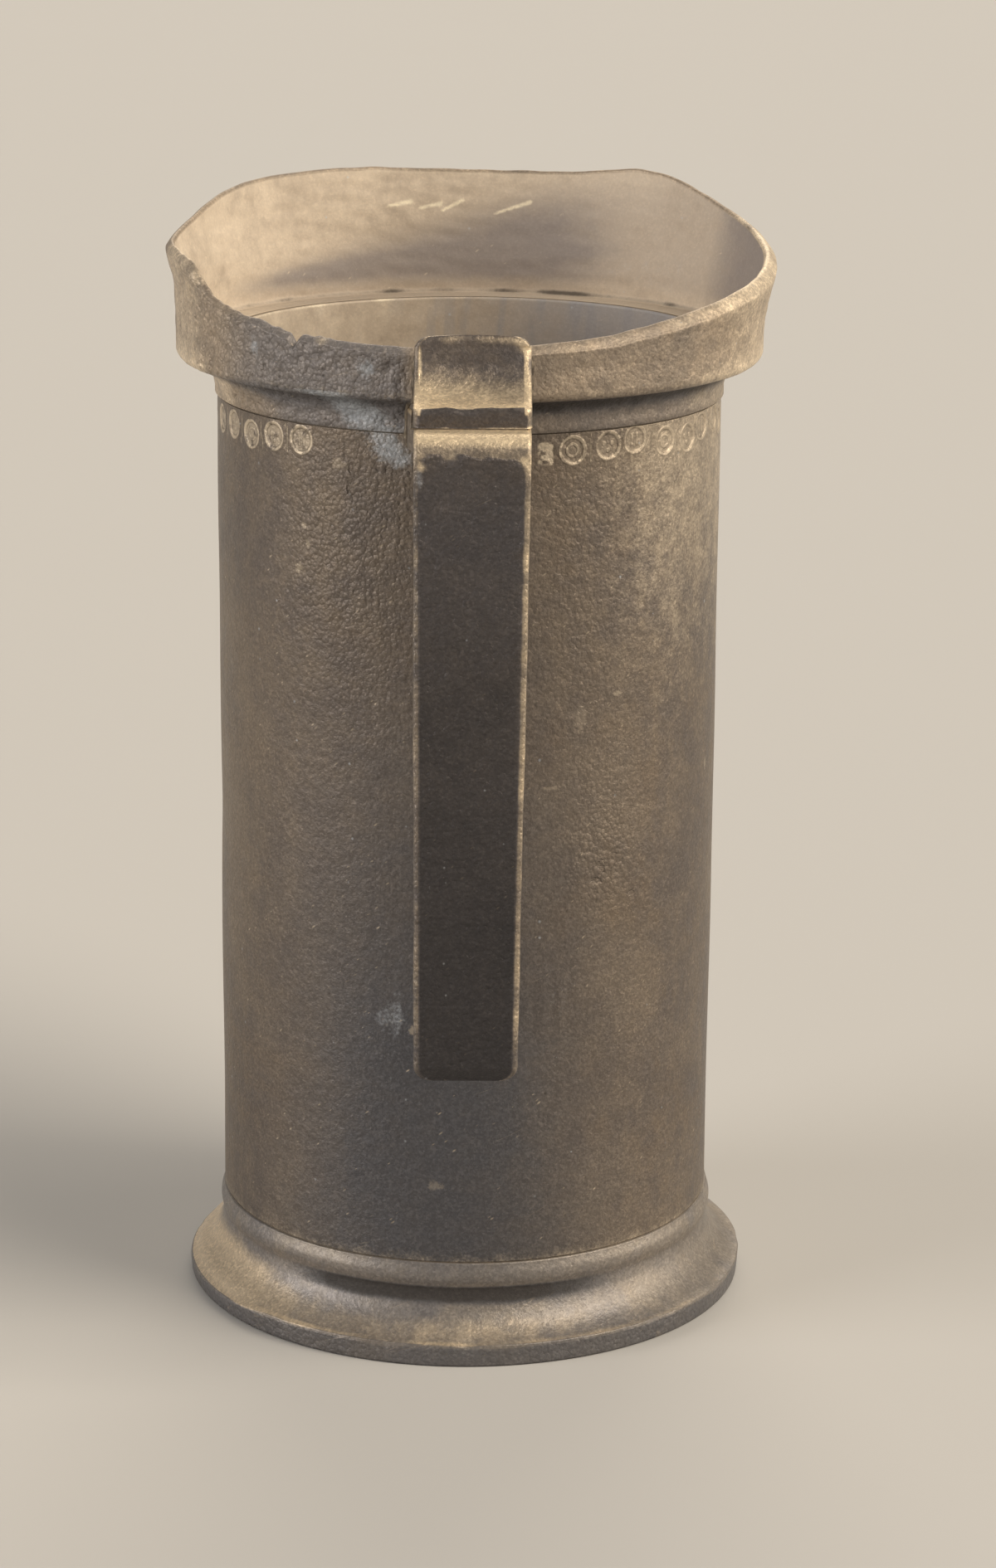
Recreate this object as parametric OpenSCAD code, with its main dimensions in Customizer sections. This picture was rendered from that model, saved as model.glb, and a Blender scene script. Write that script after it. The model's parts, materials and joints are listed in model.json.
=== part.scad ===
// One-litre wine measure of cast and turned pewter: a straight drum in a flared foot ring, with a
// wide pouring collar that is cut on the slant and a flat strap handle on its low side.
// Z is the axis of the drum, the foot stands on Z = 0 and the handle points along -Y.

/* [Drum] */
// Bore of the drum
bore_d = 86.03; // [82:0.01:90]
// Depth from the mouth of the drum to its floor
drum_depth = 172.05; // [160:0.05:185]
// Thickness of the drum wall
drum_wall = 2.25; // [2:0.05:2.8]
// Thickness of the turned-down ends of the drum that enter the foot and the collar
spigot_wall = 1.1; // [0.8:0.05:1.3]
// Thickness of the floor plate
floor_t = 3; // [2:0.1:4]
// Thickness of the film of solder in a lap
solder_t = 0.2; // [0.1:0.05:0.3]

/* [Foot ring] */
// Height of the foot ring, up to its seam with the drum
foot_h = 17.2; // [15.5:0.1:20]
// Projection of the standing edge beyond the drum
foot_out = 6.7; // [5:0.1:9]
// Height of the upright band at the standing edge
foot_edge_h = 4.2; // [3:0.1:5]
// Amount that the upright band is drawn in at the bottom
foot_undercut = 0.3; // [0:0.1:0.8]
// Height of the plain band under the seam
foot_band_h = 4.6; // [3:0.1:5.5]
// Projection of the plain band beyond the drum
foot_band_out = 0.6; // [0.2:0.1:1.2]
// Depth of the step in from the plain band to the hollow under it
foot_step = 0.4; // [0.2:0.05:0.6]
// Width of the level land between the hollow and the standing edge
foot_land = 0.3; // [0.2:0.1:0.8]
// Radius of the hollow between the plain band and the standing edge
foot_hollow_r = 9; // [8.5:0.5:16]
// Height of the lip that carries the floor plate
lip_h = 2.4; // [1.6:0.1:3]
// Width of the lip under the floor plate
lip_w = 4; // [2:0.5:8]
// Size of the fillet of solder under the floor plate
fillet_w = 1.2; // [0.6:0.1:1.5]

/* [Collar] */
// Projection of the upright band of the collar beyond the drum
collar_out = 7.2; // [6:0.1:8.5]
// Thickness of the collar wall
collar_wall = 2.2; // [1.6:0.1:3]
// Height of the collar's socket below the mouth
neck_h = 10; // [8:0.1:13]
// Height of the plain part of the neck above its seam
neck_band_h = 1.8; // [0.8:0.1:2.4]
// Projection of the neck beyond the drum
neck_out = 0.35; // [0.1:0.05:1]
// Thickness of the ledge at the foot of the collar wall
ledge_t = 3.7; // [3:0.1:4.5]
// Radius of the hollow between the neck and the ledge
neck_hollow_r = 5; // [4:0.5:10]
// Rounding of the lower outside edge of the collar
collar_round = 1.9; // [0.8:0.1:2.4]
// Height of the upright band above the mouth
band_h = 1.5; // [0.5:0.1:4]
// Lean of the flared wall
flare_deg = 10.8; // [4:0.1:16]
// Height of the slanted rim above the mouth, on the axis
rim_mid_h = 15.6; // [14:0.1:20]
// Slant of the rim
rim_slant = 11.3; // [6:0.1:13]
// Height of the level part of the rim above the mouth
rim_top_h = 24.2; // [22:0.1:30]

/* [Handle] */
// Room for the fingers between drum and strap
grip_gap = 24; // [21:0.5:30]
// Thickness of the strap
strap_t = 5; // [4:0.1:7]
// Width of the strap at its top, also the width of its arm
strap_top_w = 19.2; // [16:0.1:24]
// Width of the strap at its lower end
strap_low_w = 17.5; // [14:0.1:18]
// Drop from the mouth to the shelf on top of the arm
shelf_drop = 5.1; // [4:0.1:5.6]
// Length of the strap from the shelf to its lower end
strap_len = 110.5; // [95:0.1:125]
// Chamfer along the two outer edges of the strap
strap_chamfer = 1.1; // [0.4:0.1:1.8]
// Rounding of the corners at the lower end of the strap
strap_round = 2.6; // [1:0.1:5]
// Radius of the bend from the shelf down into the strap
bend_r = 3.8; // [2:0.1:4.4]
// Drop from the mouth to the underside of the arm
arm_drop = 12.4; // [11:0.1:16]
// Radius of the hollow between the arm and the back of the strap
haunch_r = 7; // [3:0.5:10]
// Length of the bare shelf in front of the pad
shelf_w = 7; // [5:0.1:8]
// Amount that the pad is wider than the top of the strap
pad_over = 0.3; // [0:0.1:2]
// Height of the top of the pad above the mouth
pad_h = 8.5; // [6:0.1:10]
// Thickness of the pad at its top edge
pad_t = 1.7; // [1:0.1:2.5]
// Rounding of the upper corners of the pad
pad_round = 3.4; // [1:0.1:6]
// Height of the upright front of the pad above the shelf
pad_step_h = 3.3; // [1.5:0.1:4]
// Width of the level edge above the upright front of the pad
pad_edge_w = 0.9; // [0.4:0.1:2]

/* [Strut] */
// Height of the middle of the strut above the lower end of the strap
strut_up = 7; // [6.5:0.1:20]
// Width of the strut
strut_w = 12; // [8:0.5:14]
// Height of the strut at its ends
strut_h = 8.6; // [6:0.1:9]
// Depth of the hollows on the top and the underside of the strut
strut_hollow = 1.3; // [0.5:0.1:2]
// Lap of a solder bed round the foot of what it holds
solder_lap = 1.2; // [0.5:0.1:2]
// Thickness of the edge of a solder bed
solder_edge = 0.5; // [0.4:0.05:0.8]

/* [Hidden] */
$fn = 96;

PEWTER = "#6e675e";
PEWTER_PALE = "#a89880";
PEWTER_DARK = "#3b352f";
SOLDER = "#b9a67f";

// Overshoot of a cutting shape past the face that it cuts
over = 1;

bore_r = bore_d / 2;
drum_r = bore_r + drum_wall;
spigot_r = bore_r + spigot_wall;
socket_r = spigot_r + solder_t;
floor_z = lip_h + floor_t;
mouth_z = floor_z + drum_depth;

foot_r = drum_r + foot_out;
foot_band_r = drum_r + foot_band_out;
foot_band_z = foot_h - foot_band_h;
foot_hollow_z = foot_band_z - foot_step;
lip_r = spigot_r - lip_w;

collar_r = drum_r + collar_out;
neck_z = mouth_z - neck_h;
neck_r = drum_r + neck_out;
ledge_low_z = mouth_z - ledge_t;
band_z = mouth_z + band_h;
rim_top_z = mouth_z + rim_top_h;
flare_out = (rim_top_h - band_h) * tan(flare_deg);

strap_in = drum_r + grip_gap;
strap_out = strap_in + strap_t;
shelf_z = mouth_z - shelf_drop;
arm_z = mouth_z - arm_drop;
strap_low_z = shelf_z - strap_len;
strut_z = strap_low_z + strut_up;
strut_low_z = strut_z - strut_h / 2;
pad_w = strap_top_w + pad_over;
pad_low_z = shelf_z + solder_t;
pad_step_z = shelf_z + pad_step_h;
pad_top_z = mouth_z + pad_h;
pad_front_r = strap_out - shelf_w;

// Outer radius of the flared wall at the top of the pad, then the face of the pad there
pad_back_r = collar_r + (pad_top_z - band_z) * tan(flare_deg);
pad_face_r = pad_back_r + solder_t + pad_t;

// Sweep of the pad: the arc from its top edge that ends level above its upright front
sweep_end = pad_front_r - pad_edge_w;
sweep_run = sweep_end - pad_face_r;
sweep_rise = pad_top_z - pad_step_z;
sweep_r = (sweep_run * sweep_run + sweep_rise * sweep_rise) / (2 * sweep_rise);

// Radius of an arc from its chord and its depth
function arc_radius(chord, depth) = (chord * chord / 4 + depth * depth) / (2 * depth);

// Centre of the arc of radius r through a and b that lies on the left of the way from a to b
function arc_centre(a, b, r) =
    let (half = (b - a) / 2, reach = sqrt(r * r - half * half))
    a + half + reach * [-half.y, half.x] / norm(half);

// A flat (radius, height) profile turned into an upright plate of width w behind the -Y axis
module upright(w) {
    rotate([90, 0, -90])
        linear_extrude(w, center = true)
            children();
}

// Cutter for the hollow of a half section between the corners a and b: the part of a circle through
// both that lies between their heights
module hollow_cut(a, b, r) {
    intersection() {
        translate(arc_centre(a, b, r))
            circle(r);
        translate([0, min(a.y, b.y)])
            square([a.x + b.x, abs(a.y - b.y)]);
    }
}

// Cutter that rounds a lower outside corner of a section, or an upper one where up is 1
module round_cut(corner, r, up = 0) {
    translate(corner)
        mirror([0, up])
            translate([-r, 0])
                difference() {
                    square(r);
                    translate([0, r])
                        circle(r);
                }
}

// Half section of the foot ring
module foot_section() {
    top = [foot_band_r - foot_step, foot_hollow_z];
    edge = [foot_r, foot_edge_h];
    land = [foot_r - foot_land, foot_edge_h];
    difference() {
        polygon([
            [lip_r, 0],
            [foot_r - foot_undercut, 0],
            edge,
            [edge.x, top.y],
            top,
            [foot_band_r, foot_band_z],
            [foot_band_r, foot_h],
            [socket_r, foot_h],
            [socket_r, lip_h],
            [lip_r, lip_h],
        ]);
        hollow_cut(top, land, foot_hollow_r);
    }
}

// Half section of the outside of the collar, filled in to the axis and moved out by grow; the
// flared wall runs up to the level top of the rim
module collar_outside(grow) {
    low = [neck_r + grow, neck_z + neck_band_h];
    high = [collar_r - collar_round + grow, ledge_low_z];
    band = [collar_r + grow, band_z];
    difference() {
        polygon([
            [0, neck_z],
            [low.x, neck_z],
            low,
            [high.x, low.y],
            high,
            [band.x, high.y],
            band,
            [band.x + flare_out, rim_top_z],
            [0, rim_top_z],
        ]);
        hollow_cut(high, low, neck_hollow_r);
        round_cut([band.x, high.y], collar_round);
    }
}

// Outside of the drum and the collar, moved out by grow, as the seat of the handle
module seat(grow) {
    rotate_extrude()
        collar_outside(grow);
    cylinder(neck_z + over, drum_r + grow, drum_r + grow);
}

// Half space above the slanted rim
module rim_cut() {
    reach = 2 * (collar_r + flare_out);
    translate([0, 0, mouth_z + rim_mid_h])
        rotate([rim_slant, 0, 0])
            translate([-reach, -reach, 0])
                cube([2 * reach, 2 * reach, reach]);
}

// Side view of the strap: its arm, the bend at the top and the hollow under the arm
module strap_side() {
    hollow = [strap_in - haunch_r, arm_z - haunch_r];
    difference() {
        polygon([
            [bore_r, arm_z],
            [hollow.x, arm_z],
            hollow,
            [strap_in, hollow.y],
            [strap_in, strap_low_z],
            [strap_out, strap_low_z],
            [strap_out, shelf_z],
            [bore_r, shelf_z],
        ]);
        translate(hollow)
            circle(haunch_r);
        round_cut([strap_out, shelf_z], bend_r, up = 1);
    }
}

// Front view of the strap: tapered, with the two lower corners rounded
module strap_front() {
    half = strap_low_w / 2;
    turn_z = strap_low_z + strap_round;
    polygon([
        [-half, turn_z],
        [half, turn_z],
        [strap_top_w / 2, arm_z],
        [strap_top_w / 2, mouth_z],
        [-strap_top_w / 2, mouth_z],
        [-strap_top_w / 2, arm_z],
    ]);
    translate([-half + strap_round, strap_low_z])
        square([strap_low_w - 2 * strap_round, strap_round + over]);
    for (side = [-1, 1])
        translate([side * (half - strap_round), turn_z])
            circle(strap_round);
}

// Side view of the pad: an upright front on the shelf and the sweep up to its top edge
module pad_side() {
    difference() {
        polygon([
            [bore_r, pad_low_z],
            [pad_front_r, pad_low_z],
            [pad_front_r, pad_step_z],
            [sweep_end, pad_step_z],
            [sweep_end, pad_top_z],
            [bore_r, pad_top_z],
        ]);
        translate([sweep_end, pad_step_z + sweep_r])
            circle(sweep_r);
    }
}

// Front view of the handle's root down to low_z, wider by lap, with the two upper corners rounded
module root_front(low_z, lap) {
    half = pad_w / 2 + lap;
    corner = pad_round + lap;
    turn_z = pad_top_z - pad_round;
    translate([-half, low_z])
        square([2 * half, turn_z - low_z]);
    translate([-half + corner, low_z])
        square([2 * (half - corner), pad_top_z + lap - low_z]);
    for (side = [-1, 1])
        translate([side * (half - corner), turn_z])
            circle(corner);
}

// A flat front view turned upright and carried from the axis out to the depth r along -Y
module facing(r) {
    rotate([90, 0, 0])
        linear_extrude(r)
            children();
}

// Block that stands where the foot of the strut meets the drum and the strap, wider by lap
module strut_block(lap) {
    translate([-strut_w / 2 - lap, -strap_in, strut_low_z - lap])
        cube([strut_w + 2 * lap, strap_in, strut_h + 2 * lap]);
}

// Tube of the measure, with a turned-down spigot at each end
module drum() {
    color(PEWTER)
        rotate_extrude()
            polygon([
                [bore_r, floor_z],
                [spigot_r, floor_z],
                [spigot_r, foot_h + solder_t],
                [drum_r, foot_h + solder_t],
                [drum_r, neck_z - solder_t],
                [spigot_r, neck_z - solder_t],
                [spigot_r, mouth_z],
                [bore_r, mouth_z],
            ]);
}

// Disc that closes the drum, carried by the lip of the foot ring
module floor_plate() {
    color(PEWTER)
        translate([0, 0, lip_h])
            cylinder(floor_t, spigot_r, spigot_r);
}

// Flared foot with the socket for the drum and the lip for the floor plate
module foot_ring() {
    color(PEWTER_PALE)
        rotate_extrude()
            foot_section();
}

// Neck, ledge and flared wall in one ring, cut on the slant
module collar() {
    color(PEWTER)
        difference() {
            rotate_extrude()
                difference() {
                    collar_outside(0);
                    square([socket_r, mouth_z]);
                    polygon([
                        [0, mouth_z],
                        [collar_r - collar_wall, mouth_z],
                        [collar_r - collar_wall, band_z],
                        [collar_r - collar_wall + flare_out, rim_top_z],
                        [0, rim_top_z],
                    ]);
                }
            rim_cut();
        }
}

// Flat tapered strap, bent over at the top into the arm that meets the neck and the drum
module handle_strap() {
    low_half = strap_low_w / 2;
    turn_z = strap_low_z + strap_round;
    taper = atan2(strap_top_w / 2 - low_half, arm_z - turn_z);
    chamfer_in = strap_chamfer / sqrt(2);
    chamfer_w = 4 * strap_chamfer;
    color(PEWTER_DARK)
        difference() {
            intersection() {
                upright(2 * strap_top_w)
                    strap_side();
                facing(strap_out)
                    strap_front();
            }
            for (flip = [0, 1])
                mirror([flip, 0, 0])
                    translate([low_half, -strap_out, turn_z])
                        rotate([0, taper, 0])
                            rotate([0, 0, -45])
                                translate([-chamfer_in, -chamfer_w / 2, -strap_len])
                                    cube([chamfer_w, chamfer_w, 3 * strap_len]);
            seat(solder_t);
        }
}

// Thumb pad that stands on the arm and leans on the collar
module handle_pad() {
    color(PEWTER_DARK)
        difference() {
            intersection() {
                upright(2 * pad_w)
                    pad_side();
                facing(strap_in)
                    root_front(arm_z, 0);
            }
            seat(solder_t);
        }
}

// Short bar between drum and strap, waisted above and below
module handle_strut() {
    waist_r = arc_radius(grip_gap, strut_hollow);
    color(PEWTER_DARK)
        difference() {
            translate([0, solder_t, 0])
                strut_block(0);
            for (side = [-1, 1])
                translate([
                    -strut_w / 2 - over,
                    -drum_r - grip_gap / 2,
                    strut_z + side * (strut_h / 2 - strut_hollow + waist_r),
                ])
                    rotate([0, 90, 0])
                        cylinder(strut_w + 2 * over, waist_r, waist_r);
            seat(solder_t);
        }
}

// Film in the lap of drum, floor plate and foot ring, turned out into the seam
module foot_solder() {
    color(SOLDER)
        rotate_extrude()
            polygon([
                [spigot_r, lip_h],
                [socket_r, lip_h],
                [socket_r, foot_h],
                [drum_r - solder_t, foot_h],
                [drum_r - solder_t, foot_h + solder_t],
                [spigot_r, foot_h + solder_t],
            ]);
}

// Fillet under the floor plate, inside the foot ring
module floor_solder() {
    color(SOLDER)
        rotate_extrude()
            polygon([
                [lip_r, lip_h],
                [lip_r - fillet_w, lip_h],
                [lip_r, lip_h - fillet_w],
            ]);
}

// Film in the lap of drum and collar, turned out into the seam
module collar_solder() {
    color(SOLDER)
        rotate_extrude()
            polygon([
                [spigot_r, neck_z - solder_t],
                [drum_r - solder_t, neck_z - solder_t],
                [drum_r - solder_t, neck_z],
                [socket_r, neck_z],
                [socket_r, mouth_z],
                [spigot_r, mouth_z],
            ]);
}

// Film between the pad and the shelf
module pad_solder() {
    color(SOLDER)
        difference() {
            translate([-strap_top_w / 2, -pad_front_r, shelf_z])
                cube([strap_top_w, pad_front_r, solder_t]);
            seat(solder_edge);
        }
}

// Bed between the handle's root and the collar, neck and drum
module root_solder() {
    color(SOLDER)
        difference() {
            intersection() {
                seat(solder_edge);
                facing(strap_in)
                    root_front(arm_z - solder_lap, solder_lap);
            }
            seat(0);
            handle_pad();
            handle_strap();
            rim_cut();
        }
}

// Bed between strut and drum
module strut_solder() {
    color(SOLDER)
        difference() {
            intersection() {
                seat(solder_edge);
                strut_block(solder_lap);
            }
            seat(0);
            handle_strut();
        }
}

// Bed between strut and strap
module strap_solder() {
    color(SOLDER)
        difference() {
            intersection() {
                strut_block(solder_lap);
                translate([-strut_w, -strap_in, 0])
                    cube([2 * strut_w, solder_edge, mouth_z]);
            }
            handle_strut();
        }
}

drum();
floor_plate();
foot_ring();
collar();
handle_strap();
handle_pad();
handle_strut();
foot_solder();
floor_solder();
collar_solder();
pad_solder();
root_solder();
strut_solder();
strap_solder();
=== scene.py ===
"""Looks of a one-litre pewter wine measure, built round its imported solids.

Everything is in metres in the frame of the solids: Z is the axis of the drum, the foot stands on
Z = 0 and the handle points along -Y. Angles round the drum start at the handle and grow towards +X.
"""

import json
import logging
import math
from collections.abc import Callable
from dataclasses import dataclass
from enum import Enum, IntEnum

import bpy
import numpy as np
from mathutils import Matrix, Vector

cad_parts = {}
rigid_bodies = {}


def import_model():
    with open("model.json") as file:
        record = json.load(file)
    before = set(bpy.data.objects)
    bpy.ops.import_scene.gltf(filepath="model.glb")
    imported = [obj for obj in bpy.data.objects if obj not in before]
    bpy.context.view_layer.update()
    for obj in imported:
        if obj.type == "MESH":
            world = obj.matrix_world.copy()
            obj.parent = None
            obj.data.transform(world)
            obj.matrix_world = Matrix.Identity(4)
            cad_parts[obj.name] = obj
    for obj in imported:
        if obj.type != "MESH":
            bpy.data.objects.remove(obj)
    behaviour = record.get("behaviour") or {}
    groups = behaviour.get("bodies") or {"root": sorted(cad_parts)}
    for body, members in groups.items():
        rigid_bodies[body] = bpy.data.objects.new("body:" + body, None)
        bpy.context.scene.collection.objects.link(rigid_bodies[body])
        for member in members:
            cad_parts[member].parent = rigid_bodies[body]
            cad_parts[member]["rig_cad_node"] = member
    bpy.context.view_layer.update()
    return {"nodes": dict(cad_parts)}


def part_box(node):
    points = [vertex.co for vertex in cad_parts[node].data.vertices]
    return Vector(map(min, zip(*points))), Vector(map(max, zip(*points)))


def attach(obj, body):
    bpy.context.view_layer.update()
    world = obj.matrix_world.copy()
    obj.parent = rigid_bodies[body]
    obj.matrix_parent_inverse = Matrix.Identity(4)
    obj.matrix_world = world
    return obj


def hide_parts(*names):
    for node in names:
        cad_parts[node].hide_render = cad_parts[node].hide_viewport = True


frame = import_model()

Array = np.ndarray
Colour = tuple[float, float, float]
Pair = tuple[float, float]
Triple = tuple[float, float, float]
Table = tuple[tuple[float, ...], ...]
MM = 0.001
TAU = 2.0 * math.pi
log = logging.getLogger("wine_measure")


# Curves and unevenness


def ease(low: float, high: float, x: Array) -> Array:
    """Soft step over x: 0 below low, 1 above high, and 3t^2 - 2t^3 between them."""
    t = np.clip((x - low) / (high - low), 0.0, 1.0)
    return t * t * (3.0 - 2.0 * t)


def hump(x: Array, centre: float, half: float) -> Array:
    """Bell of height 1: e to the minus square of the distance from centre in halves."""
    return np.exp(-(((x - centre) / half) ** 2))


def turned(angle: Array) -> Array:
    """The same angle between minus and plus half a turn."""
    return (angle + math.pi) % TAU - math.pi


def keyed(x: Array, keys: Table) -> Array:
    """Curve through keys without overshoot: cubic pieces with harmonic mean slopes at the keys.

    Args:
        x: Where to read the curve.
        keys: Pairs of place and value, in order.

    Returns:
        The value of the curve at each x.
    """
    xs, ys = np.array(keys, float).T
    gap = np.diff(xs)
    rise = np.diff(ys) / gap
    product = rise[:-1] * rise[1:]
    total = rise[:-1] + rise[1:]
    slope = np.concatenate([rise[:1], np.zeros(len(xs) - 2), rise[-1:]])
    slope[1:-1] = np.where(product > 0.0, 2.0 * product / np.where(total == 0.0, 1.0, total), 0.0)
    i = np.clip(np.searchsorted(xs, x) - 1, 0, len(gap) - 1)
    t = np.clip((x - xs[i]) / gap[i], 0.0, 1.0)
    start = (1.0 + 2.0 * t) * (1.0 - t) ** 2 * ys[i] + t * (1.0 - t) ** 2 * gap[i] * slope[i]
    end = t * t * (3.0 - 2.0 * t) * ys[i + 1] + t * t * (t - 1.0) * gap[i] * slope[i + 1]
    return start + end


@dataclass(frozen=True)
class Stretch:
    """Stretch of values: it rises from start to full and falls from late to end."""

    start: float
    full: float
    late: float
    end: float

    def at(self, x: Array) -> Array:
        """Share of the stretch at each value: one soft step up times one soft step down."""
        return ease(self.start, self.full, x) * (1.0 - ease(self.late, self.end, x))


@dataclass(frozen=True)
class Bell:
    """Soft round patch on a turned piece: its angle in degrees, its height in millimetres, its level."""

    angle: float
    half_angle: float
    height: float
    half_height: float
    level: float = 1.0

    def at(self, degrees: Array, height: Array) -> Array:
        """Level of the patch: a bell over the angle in degrees times a bell over the height in metres."""
        over_angle = hump(degrees, self.angle, self.half_angle)
        return self.level * over_angle * hump(height, self.height * MM, self.half_height * MM)


@dataclass(frozen=True)
class Ripple:
    """Seeded unevenness over an angle and a height: a sum of cosine waves of about unit size."""

    seed: int
    turns: int
    per_metre: float
    waves: int = 36

    def at(self, angle: Array, height: Array) -> Array:
        """Height of the ripple.

        Args:
            angle: Angles round the axis; whole waves go round, so it closes.
            height: Heights in metres, of a shape that fits the angles.

        Returns:
            The sum of the waves, each cos(turns * angle + rise * height + phase) times its weight.
        """
        rng = np.random.default_rng(self.seed)
        turns = rng.integers(-self.turns, self.turns + 1, self.waves)
        rise = rng.uniform(-1.0, 1.0, self.waves) * self.per_metre * TAU
        phase = rng.uniform(0.0, TAU, self.waves)
        weight = rng.normal(size=self.waves) / math.sqrt(self.waves / 2.0)
        angle, height = np.broadcast_arrays(angle, height)
        wave = np.cos(angle[..., None] * turns + height[..., None] * rise + phase)
        return wave @ weight


def rounded_line(corners: list[tuple[float, float, float, float]], bend_rows: int = 5) -> Array:
    """Closed half section with rounded corners.

    Each corner is cut by a parabola that touches both sides at the rounding's distance, and the
    straight run to the next corner is divided evenly.

    Args:
        corners: Radius and height in metres, rounding and longest step to the next corner in millimetres.
        bend_rows: Points on each rounded corner.

    Returns:
        Points of radius and height, in order, one row each.
    """
    table = np.array(corners, float)
    place, rounding, step = table[:, :2], table[:, 2] * MM, table[:, 3] * MM
    before, after = np.roll(place, 1, 0) - place, np.roll(place, -1, 0) - place
    room_before = np.linalg.norm(before, axis=1)
    room_after = np.linalg.norm(after, axis=1)
    cut = np.minimum(rounding, 0.49 * np.minimum(room_before, room_after))
    first = place + before / room_before[:, None] * cut[:, None]
    last = place + after / room_after[:, None] * cut[:, None]
    rows = []
    for k in range(len(place)):
        if cut[k] > 0.0:
            t = np.linspace(0.0, 1.0, bend_rows)[:, None]
            rows.append((1.0 - t) ** 2 * first[k] + 2.0 * t * (1.0 - t) * place[k] + t * t * last[k])
        else:
            rows.append(place[k][None])
        run = first[(k + 1) % len(place)] - last[k]
        parts = int(np.linalg.norm(run) / step[k]) + 1
        rows.append(last[k] + np.arange(1, parts)[:, None] / parts * run)
    return np.concatenate(rows)


def polar(turn: Array) -> Array:
    """Points of the unit circle: cosine and sine of each turn."""
    return np.stack([np.cos(turn), np.sin(turn)], -1)


def arc_between(low: Array, high: Array, radius: float, count: int) -> Array:
    """Arc of a hollow from a low to a high point, on the circle of that radius to their left.

    Args:
        low: Radius and height of its first point.
        high: Radius and height of its last point.
        radius: Radius of the circle.
        count: Points on the arc.

    Returns:
        Points of radius and height: the circle's centre plus the radius times (cos, sin) of the turn.
    """
    half = (low - high) / 2.0
    span = np.linalg.norm(half)
    centre = high + half + math.sqrt(radius**2 - span**2) * np.array([-half[1], half[0]]) / span
    first, last = (math.atan2(*(p - centre)[::-1]) for p in (low, high))
    turn = np.linspace(first, first + turned(last - first), count)
    return centre + radius * polar(turn)


def root_wash(degrees: Array, height: Array, half: float) -> Array:
    """Pale wash beside the handle's root: a bell over the angle, further left the higher it lies."""
    return hump(degrees + 20.0 + 1.1 * (height / MM - 167.0), 0.0, half)


def side_angle(degrees: Array) -> Array:
    """Angle seen from inside, in degrees: 0 left, 90 at the back, 180 right and 270 at the handle."""
    return (-90.0 - degrees) % 360.0


# Meshes


def put_object(name: str, data: bpy.types.ID) -> bpy.types.Object:
    """A new object with that data, linked to the scene."""
    made = bpy.data.objects.new(name, data)
    bpy.context.scene.collection.objects.link(made)
    return made


def put_mesh(
    name: str,
    points: Array,
    closed: tuple[bool, bool],
    skin: tuple[Array, Array],
    values: dict[str, Array],
    capped: bool = False,
) -> bpy.types.Object:
    """Makes a piece from a grid of points, turned so that its faces point outwards.

    Args:
        name: Name of the piece.
        points: Grid of points, columns by rows by three.
        closed: Whether the columns and the rows close on themselves.
        skin: Running lengths in millimetres across and up, one more where the grid closes.
        values: Numbers per point that the finish reads.
        capped: Whether the first and the last column are closed by a face.

    Returns:
        The new object, linked to the scene and riding on the body.
    """
    columns, rows = points.shape[:2]
    i, j = np.meshgrid(
        np.arange(columns - (not closed[0])), np.arange(rows - (not closed[1])), indexing="ij"
    )
    side_i = np.stack([i, i + 1, i + 1, i], -1).reshape(-1, 4)
    side_j = np.stack([j, j, j + 1, j + 1], -1).reshape(-1, 4)
    corner = side_i % columns * rows + side_j % rows
    across, up = (np.broadcast_to(s, (columns + closed[0], rows + closed[1])) for s in skin)
    loops = [corner.ravel()]
    totals = [np.full(len(corner), 4)]
    places = [np.stack([across[side_i, side_j], up[side_i, side_j]], -1).reshape(-1, 2)]
    flat = points.reshape(-1, 3)
    a, b, c, d = (flat[corner[:, k]] for k in range(4))
    volume = np.sum(np.cross(a, b) * c) + np.sum(np.cross(a, c) * d)
    if capped:
        ends = [np.arange(rows)[::-1], (columns - 1) * rows + np.arange(rows)]
        for column, ring in zip((0, columns - 1), ends):
            middle = flat[ring].mean(0)
            volume += np.sum(np.cross(flat[ring], np.roll(flat[ring], -1, 0)) @ middle)
            loops.append(ring)
            totals.append(np.array([rows]))
            places.append(np.stack([across[column, ring % rows], up[column, ring % rows]], -1))
    loop, total, place = np.concatenate(loops), np.concatenate(totals), np.concatenate(places)
    start = np.concatenate([[0], np.cumsum(total)[:-1]])
    if volume < 0.0:
        order = np.repeat(2 * start + total - 1, total) - np.arange(len(loop))
        loop, place = loop[order], place[order]
    mesh = bpy.data.meshes.new(name)
    mesh.vertices.add(len(flat))
    mesh.vertices.foreach_set("co", flat.astype(np.float32).ravel())
    mesh.loops.add(len(loop))
    mesh.loops.foreach_set("vertex_index", loop.astype(np.int32))
    mesh.polygons.add(len(total))
    mesh.polygons.foreach_set("loop_start", start.astype(np.int32))
    mesh.polygons.foreach_set("use_smooth", total == 4)
    mesh.update(calc_edges=True)
    layer = mesh.uv_layers.new(name="skin")
    layer.data.foreach_set("uv", place.astype(np.float32).ravel())
    for key, value in values.items():
        vector = value.ndim == 3
        store = mesh.attributes.new(key, "FLOAT_VECTOR" if vector else "FLOAT", "POINT")
        store.data.foreach_set("vector" if vector else "value", value.astype(np.float32).ravel())
    mesh.validate()
    piece = put_object(name, mesh)
    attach(piece, "root")
    log.info("built %s: %d faces", name, len(total))
    return piece


def ring_points(angle: Array, radius: Array, height: Array) -> Array:
    """Points at an angle from the handle, a radius and a height: (r sin a, -r cos a, z)."""
    angle, radius, height = np.broadcast_arrays(angle, radius, height)
    return np.stack([radius * np.sin(angle), -radius * np.cos(angle), height], -1)


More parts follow.
